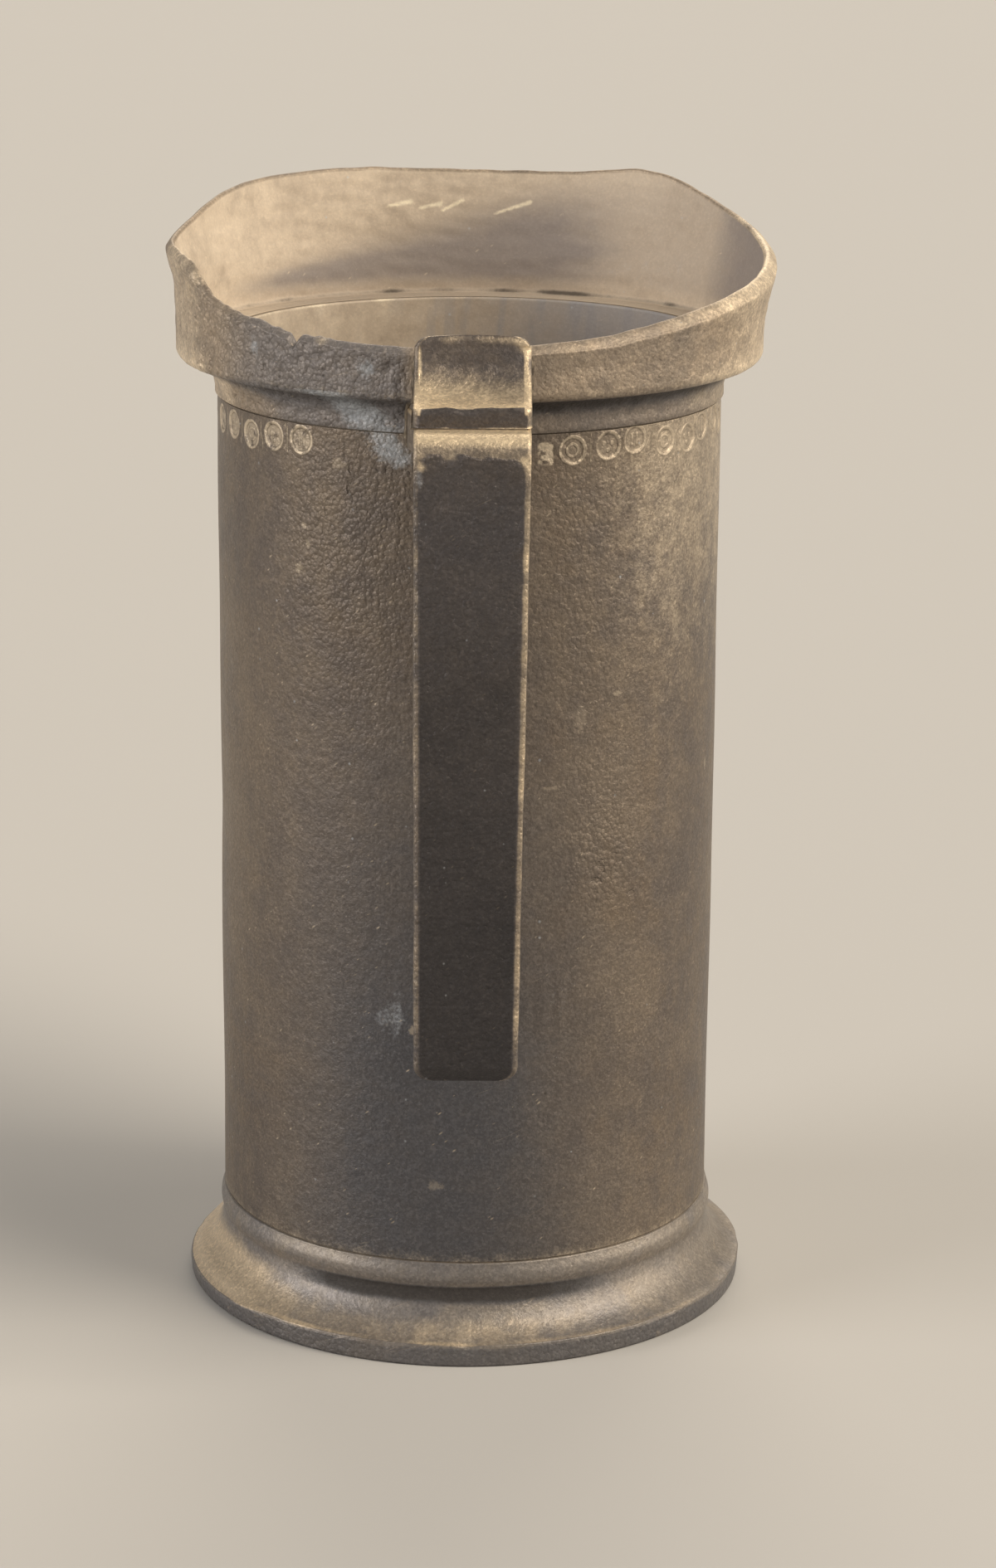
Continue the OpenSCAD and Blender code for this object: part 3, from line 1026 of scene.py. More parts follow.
@dataclass
class Drum(Assembly):
    """Straight drum with a row of struck marks under its upper seam.

    Marks and patches are placed by degrees and millimetres.
    """

    sizes: Frame
    columns: int = 640
    band: float = 10.0 * MM
    unevenness: float = 0.07 * MM
    mark_radius: float = 2.3 * MM
    mark_depth: float = 0.16 * MM
    mark_edge: float = 0.3 * MM
    mark_rim: float = 0.35 * MM
    mark_level: float = 164.2
    mark_scatter: float = 0.6
    back_marks: int = 18
    back_arc: Pair = (88.0, 276.0)
    back_gap: Pair = (7.0, 13.5)
    far_mark: Triple = (9.0, 9.0, 3.0)
    dents: int = 34
    dent_half: Pair = (2.5 * MM, 9.0 * MM)
    dent_depth: Pair = (-0.13 * MM, 0.04 * MM)
    ridge_depth: float = 0.11 * MM
    ridges: tuple[tuple[Bell, float], ...] = (
        (Bell(20.5, 6.5, 64.5, 5.0), 1.45), (Bell(-16.5, 5.0, 63.0, 5.0, 0.7), 1.7),
    )
    patch: tuple[float, float, float, float] = (16.7, 163.9, 1.3, 2.0)
    patch_soft: float = 0.3
    washes: tuple[Bell, ...] = (Bell(-16.5, 4.5, 63.0, 6.0, 0.80), Bell(22.0, 6.0, 65.0, 5.0, 0.5))
    eaten: tuple[Bell, ...] = (Bell(32.0, 10.0, 92.0, 13.0), Bell(-38.0, 7.0, 148.0, 13.0, 0.6))
    # Side angles of the painted shadow inside the drum.
    inside_shadow_arc: Stretch = Stretch(45.0, 135.0, 190.0, 240.0)
    sheen_arc: Stretch = Stretch(8.0, 58.0, 85.0, 150.0)
    seen_marks: Table = (
        (-74.7, 164.0, 1), (-65.6, 164.2, 0), (-56.7, 163.6, 2), (-48.1, 164.3, 0), (-39.5, 164.5, 1),
        (22.9, 164.2, 2), (31.7, 164.5, 0), (38.9, 165.0, 1), (48.4, 163.8, 2),
        (57.1, 163.4, 0), (64.0, 164.6, 1), (72.7, 164.9, 2), (78.7, 163.8, 0),
    )

    def section(self) -> Array:
        """Half section: two thin spigots, a plain outside and a straight bore."""
        s = self.sizes
        low, high = s.foot_top + s.film, s.neck_low - s.film
        return rounded_line([
            (s.bore, s.floor_top, 0.1, 2.0),
            (s.spigot, s.floor_top, 0.1, 4.0),
            (s.spigot, low, 0.0, 1.0),
            (s.drum_r, low, 0.12, 3.0),
            (s.drum_r, high - self.band, 0.0, 0.3),
            (s.drum_r, high, 0.12, 1.0),
            (s.spigot, high, 0.0, 4.0),
            (s.spigot, s.mouth, 0.15, 0.5),
            (s.bore, s.mouth, 0.5, 5.0),
        ])

    def all_marks(self) -> tuple[Array, Array, Array]:
        """Angles, heights and fillings of the marks: those in front and seeded ones behind."""
        rng = np.random.default_rng(17)
        count, scatter = self.back_marks, self.mark_scatter
        behind = self.back_arc[0] + np.cumsum(rng.uniform(*self.back_gap, count))
        heights = self.mark_level + rng.uniform(-scatter, scatter, count)
        kinds = rng.integers(0, len(Motif), count)
        front = np.array(self.seen_marks)
        angle = np.radians(np.concatenate([front[:, 0], behind]))
        keep = np.concatenate([np.ones(len(front), bool), behind < self.back_arc[1]])
        height = np.concatenate([front[:, 1], heights]) * MM
        kind = np.concatenate([front[:, 2], kinds])
        return angle[keep], height[keep], kind[keep]

    def nearest_mark(self, angle: Array, height: Array) -> Array:
        """Place in the nearest mark, in millimetres, and its filling.

        Args:
            angle: Angles of the columns.
            height: Heights of the rows.

        Returns:
            Columns by rows by three: across, up and filling; far away outside the row of marks.
        """
        at, up, kind = self.all_marks()
        dx = turned(angle[:, :, None] - at) * self.sizes.drum_r / MM
        dy = (height[None, :, None] - up) / MM
        dx, dy = np.broadcast_arrays(dx, dy)
        best = np.argmin(dx * dx + dy * dy, axis=2)[..., None]
        across, along = (np.take_along_axis(d, best, 2)[..., 0] for d in (dx, dy))
        return np.stack([across, along, kind[best[..., 0]].astype(float)], -1)

    def struck(self, mark: Array) -> Array:
        """Height of the marks, from the place in them: a shallow bowl inside a soft raised rim."""
        far = np.hypot(mark[..., 0], mark[..., 1]) * MM
        bowl = 1.0 - ease(self.mark_radius - self.mark_edge, self.mark_radius, far)
        rim = hump(far, self.mark_radius + self.mark_edge, self.mark_rim)
        return self.mark_depth * (0.5 * rim - bowl)

    def dented(self, angle: Array, height: Array) -> Array:
        """Depth of shallow knocks: seeded bells, and small ridges beside the strut's joint."""
        s = self.sizes
        lows, highs = zip((-math.pi, math.pi), (s.foot_top, s.neck_low), self.dent_half, self.dent_depth)
        total = np.zeros(np.broadcast_shapes(angle.shape, height.shape))
        for at, up, half, depth in np.random.default_rng(5).uniform(lows, highs, (self.dents, 4)):
            across = turned(angle - at) * s.drum_r
            total = total + depth * np.exp(-(across**2 + (height - up) ** 2) / half**2)
        degrees = np.degrees(angle)
        wave = sum(np.cos(degrees * pitch) * bell.at(degrees, height) for bell, pitch in self.ridges)
        return total + self.ridge_depth * wave

    def rubbed(self, angle: Array, height: Array) -> Array:
        """Share of ragged bare metal in the small rectangular patch of the row of marks."""
        at, up, half_w, half_h = self.patch
        across = np.abs(turned(angle - math.radians(at))) * self.sizes.drum_r / MM
        soft = self.patch_soft
        inside = 1.0 - ease(half_w - soft, half_w + soft, across)
        inside = inside * (1.0 - ease(half_h - soft, half_h + soft, np.abs(height / MM - up)))
        return inside * np.clip(0.75 + 0.55 * Ripple(9, 160, 900.0).at(angle, height), 0.0, 1.2)

    def outer_values(self, angle: Array, height: Array) -> dict[str, Array]:
        """Values of the outside: bare and pale metal, a painted sheen, dirt, painted shade of the front and
        coarse skin.

        Args:
            angle: Angles of the columns.
            height: Heights of the rows.

        Returns:
            Numbers per point, by the names that the finish reads.
        """
        s, degrees = self.sizes, np.degrees(angle)
        seam = np.maximum(hump(height, s.foot_top, 0.28 * MM), hump(height, s.neck_low, 0.25 * MM))
        arris = hump(height, s.foot_top + 0.35 * MM, 0.3 * MM)
        # Painted sheen: lighter metal on the upper right, where the side light falls.
        sheen = self.sheen_arc.at(degrees) * ease(80 * MM, 168 * MM, height)
        streak = 0.95 * root_wash(degrees, height, 6.5) * ease(158 * MM, 163 * MM, height)
        eaten = sum(bell.at(degrees, height) for bell in self.eaten)
        low = 1.0 - ease(40 * MM, 165 * MM, height)
        left = hump(degrees, -24.0, 17.0) * ease(100 * MM, 140 * MM, height)
        right = hump(degrees, 24.0, 14.0) * ease(90 * MM, 140 * MM, height)
        return {
            "wear_and_highlight": 0.95 * self.rubbed(angle, height) + 0.36 * arris,
            "sheen": 0.56 * sheen,
            "grime_and_shade": 0.22 * seam + 0.30 * eaten,
            "bloom": streak + sum(bell.at(degrees, height) for bell in self.washes),
            # Painted shade of the front: a cool dark tone round the handle side, stronger towards the bottom.
            "shade": hump(degrees, -9.0, 40.0) * (0.16 + 0.70 * low),
            "coarse": 0.12 + 0.52 * left + 0.35 * right + 0.5 * eaten,
        }

    def build(self) -> bpy.types.Object:
        """Makes the drum: its section turned round the axis, uneven and struck on the outside."""
        s = self.sizes
        line = self.section()
        angle, angle_closed = round_angles(self.columns)
        radius, height = line[:, 0], line[:, 1]
        outside = ease(s.drum_r - 0.3 * MM, s.drum_r - 0.05 * MM, radius)
        within = 1.0 - ease(s.bore + 0.2 * MM, s.bore + 0.6 * MM, radius)
        mark = self.nearest_mark(angle, height)
        uneven = self.unevenness * Ripple(3, 7, 28.0).at(angle, height) + self.dented(angle, height)
        points = ring_points(angle, radius + outside * (uneven + self.struck(mark)), height)
        lip = 0.10 + 0.22 * Ripple(8, 24, 0.0).at(angle, height)
        lip = lip * hump(height, s.mouth, 0.6 * MM) * within
        # Painted shadow inside the drum, deepest at the back and on the right.
        inside_shadow = 0.85 * self.inside_shadow_arc.at(side_angle(np.degrees(angle)))
        drips = ease(0.2, 1.5, Ripple(44, 90, 60.0).at(angle, height))
        stains = ease(0.4, 1.3, Ripple(45, 50, 110.0).at(angle, height))
        outer = {name: value * outside for name, value in self.outer_values(angle, height).items()}
        values = {
            # Wear, with the painted sheen of the upper right added.
            "wear_and_highlight": np.maximum(lip, outer["wear_and_highlight"]) + outer["sheen"],
            "grime_and_shade": outer["grime_and_shade"] + 0.30 * stains * within,
            "bloom": outer["bloom"],
            "within": within + 0.0 * angle,
            # Shade: painted shade of the front outside; inside, painted shadow with dark drips.
            "shade": outer["shade"] + (inside_shadow + 0.20 * drips) * within,
            "coarse": outer["coarse"],
            "mark": np.where(outside[None, :, None] > 0.5, mark, self.far_mark),
        }
        skin = (angle_closed * s.drum_r / MM, run_length(line, True)[None])
        piece = put_mesh("drum_wall", points, (True, True), skin, values)
        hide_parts("drum")
        return piece


@dataclass
class Floor(Assembly):
    """Disc that closes the drum, turned in fine rings round its middle."""

    columns: int = 180
    rings: int = 40
    edge_rings: int = 3
    hole: float = 0.4 * MM
    edge: float = 0.2 * MM
    sag: float = 0.12 * MM

    def build(self) -> bpy.types.Object:
        """Makes the disc: a thin section turned round the axis, with its middle closed by a cap."""
        low, high = node_span("floor_plate")
        radius, count, edge = high[0], self.rings, self.edge
        out = np.linspace(self.hole, radius - edge, count)
        ring = np.concatenate([out, np.full(self.edge_rings, radius), out[::-1]])
        side = np.linspace(low[2] + edge, high[2] - edge, self.edge_rings)
        level = np.concatenate([np.full(count, low[2]), side, np.full(count, high[2])])
        top = np.arange(len(ring)) >= count + self.edge_rings
        angle, angle_closed = round_angles(self.columns)
        height = level + np.where(top, self.sag * ((ring / radius) ** 2 - 1.0), 0.0)
        points = np.swapaxes(ring_points(angle, ring, height), 0, 1)
        grime_and_shade = np.where(top, ease(0.75, 1.0, ring / radius), 0.3)
        values = {
            "grime_and_shade": np.broadcast_to(grime_and_shade[:, None], points.shape[:2]).copy(),
            "within": np.broadcast_to(top[:, None] * 0.8, points.shape[:2]).copy(),
        }
        skin = (ring[:, None] / MM, (angle_closed * radius / MM).T)
        piece = put_mesh("floor_disc", points, (False, True), skin, values, capped=True)
        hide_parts("floor_plate")
        return piece


@dataclass
class Foot(Assembly):
    """Flared foot ring: a soft band, a hollow under it and a knocked standing edge.

    Stretches go by degrees, or by millimetres of height where they say so.
    """

    sizes: Frame
    columns: int = 600
    undercut: float = 0.3 * MM
    edge_up: float = 4.2 * MM
    band_up: float = 12.6 * MM
    band_out: float = 0.6 * MM
    swell: float = 0.16 * MM
    draw_in: float = 0.42 * MM
    step: float = 0.4 * MM
    land: float = 0.3 * MM
    hollow_r: float = 9.0 * MM
    lip_up: float = 2.4 * MM
    lip_w: float = 4.0 * MM
    unevenness: float = 0.05 * MM
    front_arc: Pair = (35.0, 75.0)
    rolled_arc: Stretch = Stretch(-150.0, -110.0, -62.0, -40.0)
    bright_arc: Stretch = Stretch(-59.0, -52.0, -36.0, -29.0)
    left_arc: Stretch = Stretch(-165.0, -130.0, -60.0, -25.0)
    right_arc: Stretch = Stretch(14.0, 36.0, 130.0, 165.0)
    cove_arc: Stretch = Stretch(-50.0, -24.0, 10.0, 45.0)
    cove_height: Stretch = Stretch(8.4, 11.0, 12.2, 13.4)

    def outside_line(self, rows: int = 24) -> Array:
        """Outside above the standing edge: the arc of the hollow, then the band.

        The arc lies on the circle of the hollow's radius through both its ends. The band leaves it
        upright, swells by soft steps to its full projection and draws in again under the seam.

        Args:
            rows: Points on the arc and on the band.

        Returns:
            Points of radius and height, upwards.
        """
        s = self.sizes
        low = np.array([s.foot_r - self.land, self.edge_up])
        high = np.array([s.drum_r + self.band_out - self.step, self.band_up - self.step])
        arc = arc_between(low, high, self.hollow_r, rows)
        t = np.linspace(0.0, 1.0, rows)[1:]
        out = self.step * ease(0.0, 0.45, t) + self.swell * np.sin(math.pi * t)
        out = out - self.draw_in * ease(0.55, 1.0, t)
        band = np.stack([high[0] + out, high[1] + (s.foot_top - high[1]) * t], -1)
        return np.concatenate([arc, band])

    def section(self) -> Array:
        """Half section of the ring, from the lip round the outside and down the socket."""
        s = self.sizes
        lip = s.spigot - self.lip_w
        return rounded_line([
            (lip, 0.0, 0.3, 2.0),
            (s.foot_r - self.undercut, 0.0, 0.5, 0.5),
            (s.foot_r, self.edge_up - 0.1 * MM, 0.42, 1.0),
            *((radius, height, 0.0, 1.0) for radius, height in self.outside_line()),
            (s.socket, s.foot_top, 0.1, 4.0),
            (s.socket, self.lip_up, 0.0, 2.0),
            (lip, self.lip_up, 0.2, 1.0),
        ])

    def front(self, angle: Array) -> Array:
        """Share of the front at each angle."""
        return 1.0 - ease(*self.front_arc, np.abs(np.degrees(angle)))

    def shape(self, angle: Array, line: Array) -> Array:
        """Points of the foot: the section turned, with knocks and a rolled part on its edge.

        Args:
            angle: Angles of the columns.
            line: Half section.

        Returns:
            Columns by rows by three.
        """
        s, (radius, height) = self.sizes, line.T
        outside = ease(s.drum_r - 0.6 * MM, s.drum_r, radius)
        edge = hump(height, self.edge_up, 1.3 * MM) * ease(s.foot_r - 3 * MM, s.foot_r, radius)
        knocks = -np.clip(Ripple(11, 40, 0.0).at(angle, 0.0 * angle) - 0.7, 0.0, 2.0)
        knocks = knocks * (0.25 + 0.75 * self.front(angle))
        rolled = self.rolled_arc.at(np.degrees(angle))
        uneven = self.unevenness * Ripple(12, 9, 60.0).at(angle, height)
        moved = radius + outside * uneven + edge * (0.45 * MM * knocks - 0.25 * MM * rolled)
        level = np.maximum(height + edge * (0.40 * MM * knocks - 1.2 * MM * rolled), 0.0)
        return ring_points(angle, np.minimum(moved, s.foot_r), level)

    def worn_and_lit(self, angle: Array, line: Array, ragged: Array) -> Array:
        """Share of bright metal: the edge's worn brink with a painted highlight in front, the worn flare with
        a painted highlight where it faces up, and a painted highlight on the band at the sides.

        Args:
            angle: Angles of the columns.
            line: Half section.
            ragged: Seeded raggedness of each column.

        Returns:
            Columns by rows.
        """
        s, (radius, height) = self.sizes, line.T
        degrees, front = np.degrees(angle), self.front(angle)
        # The edge's brink: worn, with a painted highlight in front.
        brink = hump(height, self.edge_up + 0.2 * MM, 0.5 * MM)
        brink = brink * ease(s.foot_r - 1.2 * MM, s.foot_r - 0.3 * MM, radius)
        brink = brink * (0.40 + 1.3 * self.bright_arc.at(degrees)) * front
        soft = 0.95 + 0.22 * Ripple(15, 7, 0.0).at(angle, height)
        soft = soft + 0.07 * Ripple(16, 40, 0.0).at(angle, height)
        left, right = self.left_arc.at(degrees), self.right_arc.at(degrees)
        # The flare: worn, and lit by a painted highlight where it faces up, more on the left.
        flare_wear_and_highlight = hump(height, 5.4 * MM, 2.6 * MM + 2.2 * MM * left) * soft
        flare_wear_and_highlight = flare_wear_and_highlight * (0.46 + 0.70 * left - 0.28 * right) * (height > self.edge_up - 0.05 * MM)
        # Painted highlight along the band's crown at the sides.
        band = 0.20 * hump(height, 14.6 * MM, 1.3 * MM) * (1.0 - front)
        return brink * np.clip(0.8 + 0.5 * ragged, 0.0, 1.3) + flare_wear_and_highlight + band

    def build(self) -> bpy.types.Object:
        """Makes the foot: its section turned round the axis, knocked along the standing edge."""
        s = self.sizes
        line = self.section()
        angle, angle_closed = round_angles(self.columns)
        radius, height = line.T
        degrees = np.degrees(angle)
        outside = ease(s.drum_r - 0.6 * MM, s.drum_r, radius)
        ragged = Ripple(14, 26, 0.0).at(angle, height)
        # Painted shade in the hollow under the band, strongest in front.
        shade = self.cove_height.at(height / MM) * (0.25 + 0.75 * self.cove_arc.at(degrees))
        # The upright standing edge below the brow, darkened as painted shade.
        brow = self.edge_up + 0.12 * MM * ragged
        upright = 1.0 - ease(brow - 0.8 * MM, brow - 0.1 * MM, height)
        upright = upright * ease(s.foot_r - MM, s.foot_r - 0.5 * MM, radius)
        # Painted shade on the front of the band.
        front_shade = 0.35 * ease(12.6 * MM, 14.0 * MM, height) * hump(degrees, -3.0, 30.0)
        under = 1.0 - ease(0.0, 0.9 * MM, height)
        seam = hump(height, s.foot_top, 0.22 * MM)
        values = {
            "wear_and_highlight": self.worn_and_lit(angle, line, ragged) * outside,
            # Grime, with the hollow's painted shade and a little on the upright edge.
            "grime_and_shade": 0.18 * seam + 0.92 * shade + 0.5 * under + 0.06 * upright,
            "shade": np.maximum(np.maximum(shade, 0.55 * upright), front_shade) * outside,
            "within": (1.0 - outside) * 0.5 + 0.0 * angle,
            "coarse": 0.5 * upright,
        }
        skin = (angle_closed * s.drum_r / MM, run_length(line, True)[None])
        piece = put_mesh("foot_flare", self.shape(angle, line), (True, True), skin, values)
        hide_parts("foot_ring")
        return piece


class CollarPart(IntEnum):
    """Stretches of the collar's section, in order."""

    LOW = 0
    WALL = 1
    RIM = 2
    BACK = 3
    FILLET = 4
    LEDGE = 5
    SOCKET = 6


@dataclass(frozen=True)
class CollarSkin:
    """Places on the collar that its values are worked out from, in arrays that fit each other."""

    degrees: Array
    behind: Array
    radius: Array
    height: Array
    below_rim: Array
    part: Array
    ragged: Array
    inside: Array
    outside: Array


@dataclass
class Collar(Assembly):
    """Wide pouring collar: neck, ledge and a flared wall whose rim is low behind the handle.

    Keys, patches and stretches go by degrees and millimetres. Those inside use the side angle.
    """

    sizes: Frame
    columns: int = 720
    neck_out: float = 0.35 * MM
    neck_band: float = 1.8 * MM
    ledge: float = 3.7 * MM
    wall: float = 2.2 * MM
    out: float = 7.2 * MM
    low_round: float = 1.9 * MM
    neck_hollow: float = 5.0 * MM
    band: float = 1.5 * MM
    flare: float = 10.8
    fillet: float = 0.9 * MM
    crest: float = 0.66
    steep_arc: Stretch = Stretch(-140.0, -105.0, -40.0, -15.0)
    left_arc: Stretch = Stretch(-170.0, -135.0, -12.0, 12.0)
    right_arc: Stretch = Stretch(4.0, 16.0, 95.0, 125.0)
    rough_arc: Stretch = Stretch(-78.0, -62.0, -14.0, -8.0)
    # Side angles of the painted shadow band inside.
    shadow_band_arc: Stretch = Stretch(20.0, 55.0, 100.0, 135.0)
    # Painted light: the collar's left and right sides brightened with bright metal.
    lit_sides: tuple[tuple[Stretch, float], ...] = (
        (Stretch(35.0, 70.0, 100.0, 130.0), 0.46), (Stretch(-95.0, -75.0, -66.0, -56.0), 0.42),
    )
    flecks: tuple[Bell, ...] = (Bell(-19.5, 3.2, 179.2, 2.3), Bell(-44.3, 1.6, 180.3, 2.6))
    stain: Bell = Bell(-65.2, 2.4, 192.0, 1.6)
    bluish: Bell = Bell(132.0, 26.0, 183.0, 4.0)
    fine_line: Bell = Bell(60.0, 40.0, 181.0, 0.3)
    rim_keys: Table = (
        (-180, 200.1), (-172, 200.35), (-164.5, 200.65), (-157.5, 200.9), (-150, 200.85), (-143, 200.65),
        (-136, 200.35), (-129, 199.8), (-122, 198.85), (-114.5, 197.3), (-107, 195.6), (-98, 194.5),
        (-90, 194.2), (-78, 194.2), (-70, 193.8), (-66, 193.1), (-64.3, 192.0), (-62.5, 190.3),
        (-59.6, 188.1), (-56, 187.1), (-51.4, 186.5), (-48.2, 185.8), (-44.4, 185.6), (-41.2, 185.1),
        (-39.6, 185.0), (-37.0, 184.1), (-30.9, 184.1), (-28.6, 184.1), (-25.6, 183.6), (-12, 183.1),
        (0, 182.9), (11, 183.4), (20, 184.0), (28, 184.6), (37, 185.8), (48, 187.2), (62, 189.0), (75, 190.6),
        (90, 192.3), (99.6, 193.5), (106.4, 194.5), (114.2, 195.8), (121.9, 197.3), (128.4, 198.8),
        (135.4, 200.5), (140.6, 201.35), (144.6, 201.6), (151.2, 201.0), (158.4, 200.35), (165.3, 200.1),
        (180, 200.1),
    )
    wall_keys: Table = (
        (-180, 2.2), (-140, 2.2), (-95, 1.8), (-60, 1.7), (-30, 1.9), (0, 2.2), (40, 2.6), (80, 2.6),
        (115, 2.3), (180, 2.2),
    )
    crown_keys: Table = (
        (-180, 1.0), (-100, 1.1), (-85, 1.5), (-68, 1.3), (-58, 0.8), (-20, 0.9), (8, 1.3), (30, 1.7),
        (80, 1.8), (110, 1.2), (180, 1.0),
    )
    nicks: Table = (
        (-34.6, 0.9, 1.9), (-40.2, 1.2, 0.4), (-30.6, 0.8, 0.3), (-28.2, 0.7, 0.3), (-52.5, 1.0, 0.3),
    )
    drops: Table = (
        (-125.0, 1.4, 0.3), (-136.5, 2.0, 0.25), (-163.0, 3.0, 0.6), (-174.0, 2.2, 0.35), (172.0, 3.6, 0.75),
        (162.0, 3.0, 0.8), (156.0, 3.8, 0.9), (131.0, 1.8, 0.45), (60.0, 1.6, 0.4), (-60.0, 1.5, 0.4),
    )
    strokes: Table = (
        (-162.7, 193.6, -167.5, 194.3), (-169.8, 193.2, -173.7, 193.8), (-174.5, 192.7, -178.3, 194.4),
        (-185.3, 192.1, -192.3, 194.3),
    )

    def radius(self) -> float:
        """Outside radius at the upright band."""
        return self.sizes.drum_r + self.out

    def low_line(self) -> Array:
        """Outside of the neck and the ledge, from the seam up to the upright band."""
        s = self.sizes
        neck, ledge_low = s.drum_r + self.neck_out, s.mouth - self.ledge
        low = np.array([neck, s.neck_low + self.neck_band])
        high = np.array([self.radius() - self.low_round, ledge_low])
        cove = arc_between(low, high, self.neck_hollow, 14)
        roll = np.linspace(-0.5 * math.pi, 0.0, 8)
        corner = np.array([high[0], ledge_low + self.low_round])
        edge = corner + self.low_round * polar(roll)
        foot = [[neck - 0.2 * MM, s.neck_low], [neck, s.neck_low + 0.15 * MM], [neck, low[1] - 0.5 * MM]]
        return np.concatenate([foot, cove, edge])

    def surface_radius(self, height: Array) -> Array:
        """Outside radius of the drum and collar near the handle at a height."""
        s, band = self.sizes, self.radius()
        drum = [[s.drum_r, 0.0], [s.drum_r, s.neck_low]]
        top = [[band, s.mouth + self.band], [band + 2.2 * MM, s.mouth + 13 * MM]]
        full = np.concatenate([drum, self.low_line(), top])
        return np.interp(height, full[:, 1], full[:, 0])

    def wall_radius(self, angle: Array, height: Array) -> Array:
        """Outside radius of the wall: an even flare, or on the left an upright wall with a late one.

        Args:
            angle: Angles of the columns.
            height: Heights, columns by rows.

        Returns:
            The radius of each point.
        """
        rise = np.maximum(height - self.sizes.mouth - self.band, 0.0)
        belly = 0.28 * MM * np.sin(np.minimum(rise / (9 * MM), 1.0) * math.pi)
        even = rise * math.tan(math.radians(self.flare)) - belly
        late = 0.02 * rise + 1.55 * MM * ease(186.0 * MM, 194.5 * MM, height)
        share = self.steep_arc.at(np.degrees(angle))
        return self.radius() + np.minimum(even * (1.0 - share) + late * share, 4.2 * MM)

    def rim_height(self, angle: Array) -> Array:
        """Height of the rim: the keyed line, less the nicks, plus a slight wave."""
        degrees = np.degrees(angle)
        height = keyed(degrees, self.rim_keys) * MM
        for at, half, depth in self.nicks:
            height = height - depth * MM * hump(degrees, at, half)
        wave = 0.03 * MM * Ripple(21, 60, 0.0).at(angle, 0.0 * angle)
        return np.minimum(height + wave, self.sizes.rim_top)

    def profile(self, angle: Array, rim: Array) -> tuple[Array, Array, Array]:
        """Section at each column, from the seam up the outside and down the inside.

        Across its thickness the rim rises by one power to its crest and falls by another, half as far.

        Args:
            angle: Angles of the columns.
            rim: Heights of the rim.

        Returns:
            Radius and height of each point, and the part of the section that each row belongs to.
        """
        s, socket = self.sizes, self.sizes.socket
        thick, crown = (keyed(np.degrees(angle), k) * MM for k in (self.wall_keys, self.crown_keys))
        base, foot_z = s.mouth + 0.6 * MM, s.mouth + self.fillet
        wall_z = base + (rim - crown - base) * np.linspace(0.0, 1.0, 18)[1:]
        wall_r = self.wall_radius(angle, wall_z)
        arc = np.linspace(0.0, 1.0, 12)[1:-1]
        rising = 1.0 - np.abs(1.0 - arc / self.crest) ** 1.6
        falling = 1.0 - 0.5 * np.abs((arc - self.crest) / (1.0 - self.crest)) ** 2.4
        rim_z = rim - crown + crown * np.where(arc < self.crest, rising, falling)
        start = rim - 0.6 * crown
        back_z = start + (foot_z - start) * np.linspace(0.0, 1.0, 46)
        back_r = self.wall_radius(angle, back_z) - thick
        turn = np.linspace(0.0, 0.5 * math.pi, 6)[1:]
        fillet_r = back_r[:, -1:] - self.fillet + self.fillet * np.cos(turn)
        last = fillet_r[:, -1:]
        runs = (
            self.low_line().T,
            (wall_r, wall_z),
            (wall_r[:, -1:] - thick * arc, rim_z),
            (back_r, back_z),
            (fillet_r, foot_z - self.fillet * np.sin(turn)),
            (last + (socket + 0.15 * MM - last) * np.linspace(0.0, 1.0, 10)[1:], np.full(9, s.mouth)),
            (
                np.array([socket, socket, socket, socket + 0.2 * MM]),
                np.array([s.mouth - 0.15 * MM, s.mouth - 5 * MM, s.neck_low + 0.2 * MM, s.neck_low]),
            ),
        )
        full = np.ones_like(angle)
        radius, height = (np.concatenate([run[k] * full for run in runs], 1) for k in (0, 1))
        return radius, height, np.repeat(np.arange(len(runs)), [run[0].shape[-1] for run in runs])

    def roughened(self, angle: Array, height: Array, part: Array) -> Array:
        """Seeded unevenness of the radius, coarser on the left, on all but the seam and the ledge.

        Args:
            angle: Angles of the columns.
            height: Heights of the points.
            part: Part of the section of each row.

        Returns:
            What is added to the radius of each point.
        """
        left = self.rough_arc.at(np.degrees(angle)) * (part < CollarPart.BACK)
        waves = ((0.07, 31, 10, 60.0), (0.03, 32, 60, 400.0), (0.08 * left, 35, 110, 420.0))
        uneven = sum(
            depth * MM * Ripple(seed, turns, rise).at(angle, height) for depth, seed, turns, rise in waves
        )
        return uneven * ((part < CollarPart.LEDGE) & (np.arange(len(part)) > 2))

    def scraped(self, k: CollarSkin) -> Array:
        """Share of the short scraped strokes inside: a bell round each line, wider towards its end."""
        total = 0.0 * k.radius
        for start, low, end, high in self.strokes:
            share = np.clip((k.degrees % -360.0 - start) / (end - start), 0.0, 1.0)
            away = turned(np.radians(k.degrees - start - share * (end - start)))
            off = np.abs(away) * self.radius() / MM
            rise = k.height / MM - low - share * (high - low)
            total = total + np.exp(-((off / 0.6) ** 2) - (rise / (0.30 + 0.25 * share)) ** 2)
        return np.clip(total, 0.0, 1.0)

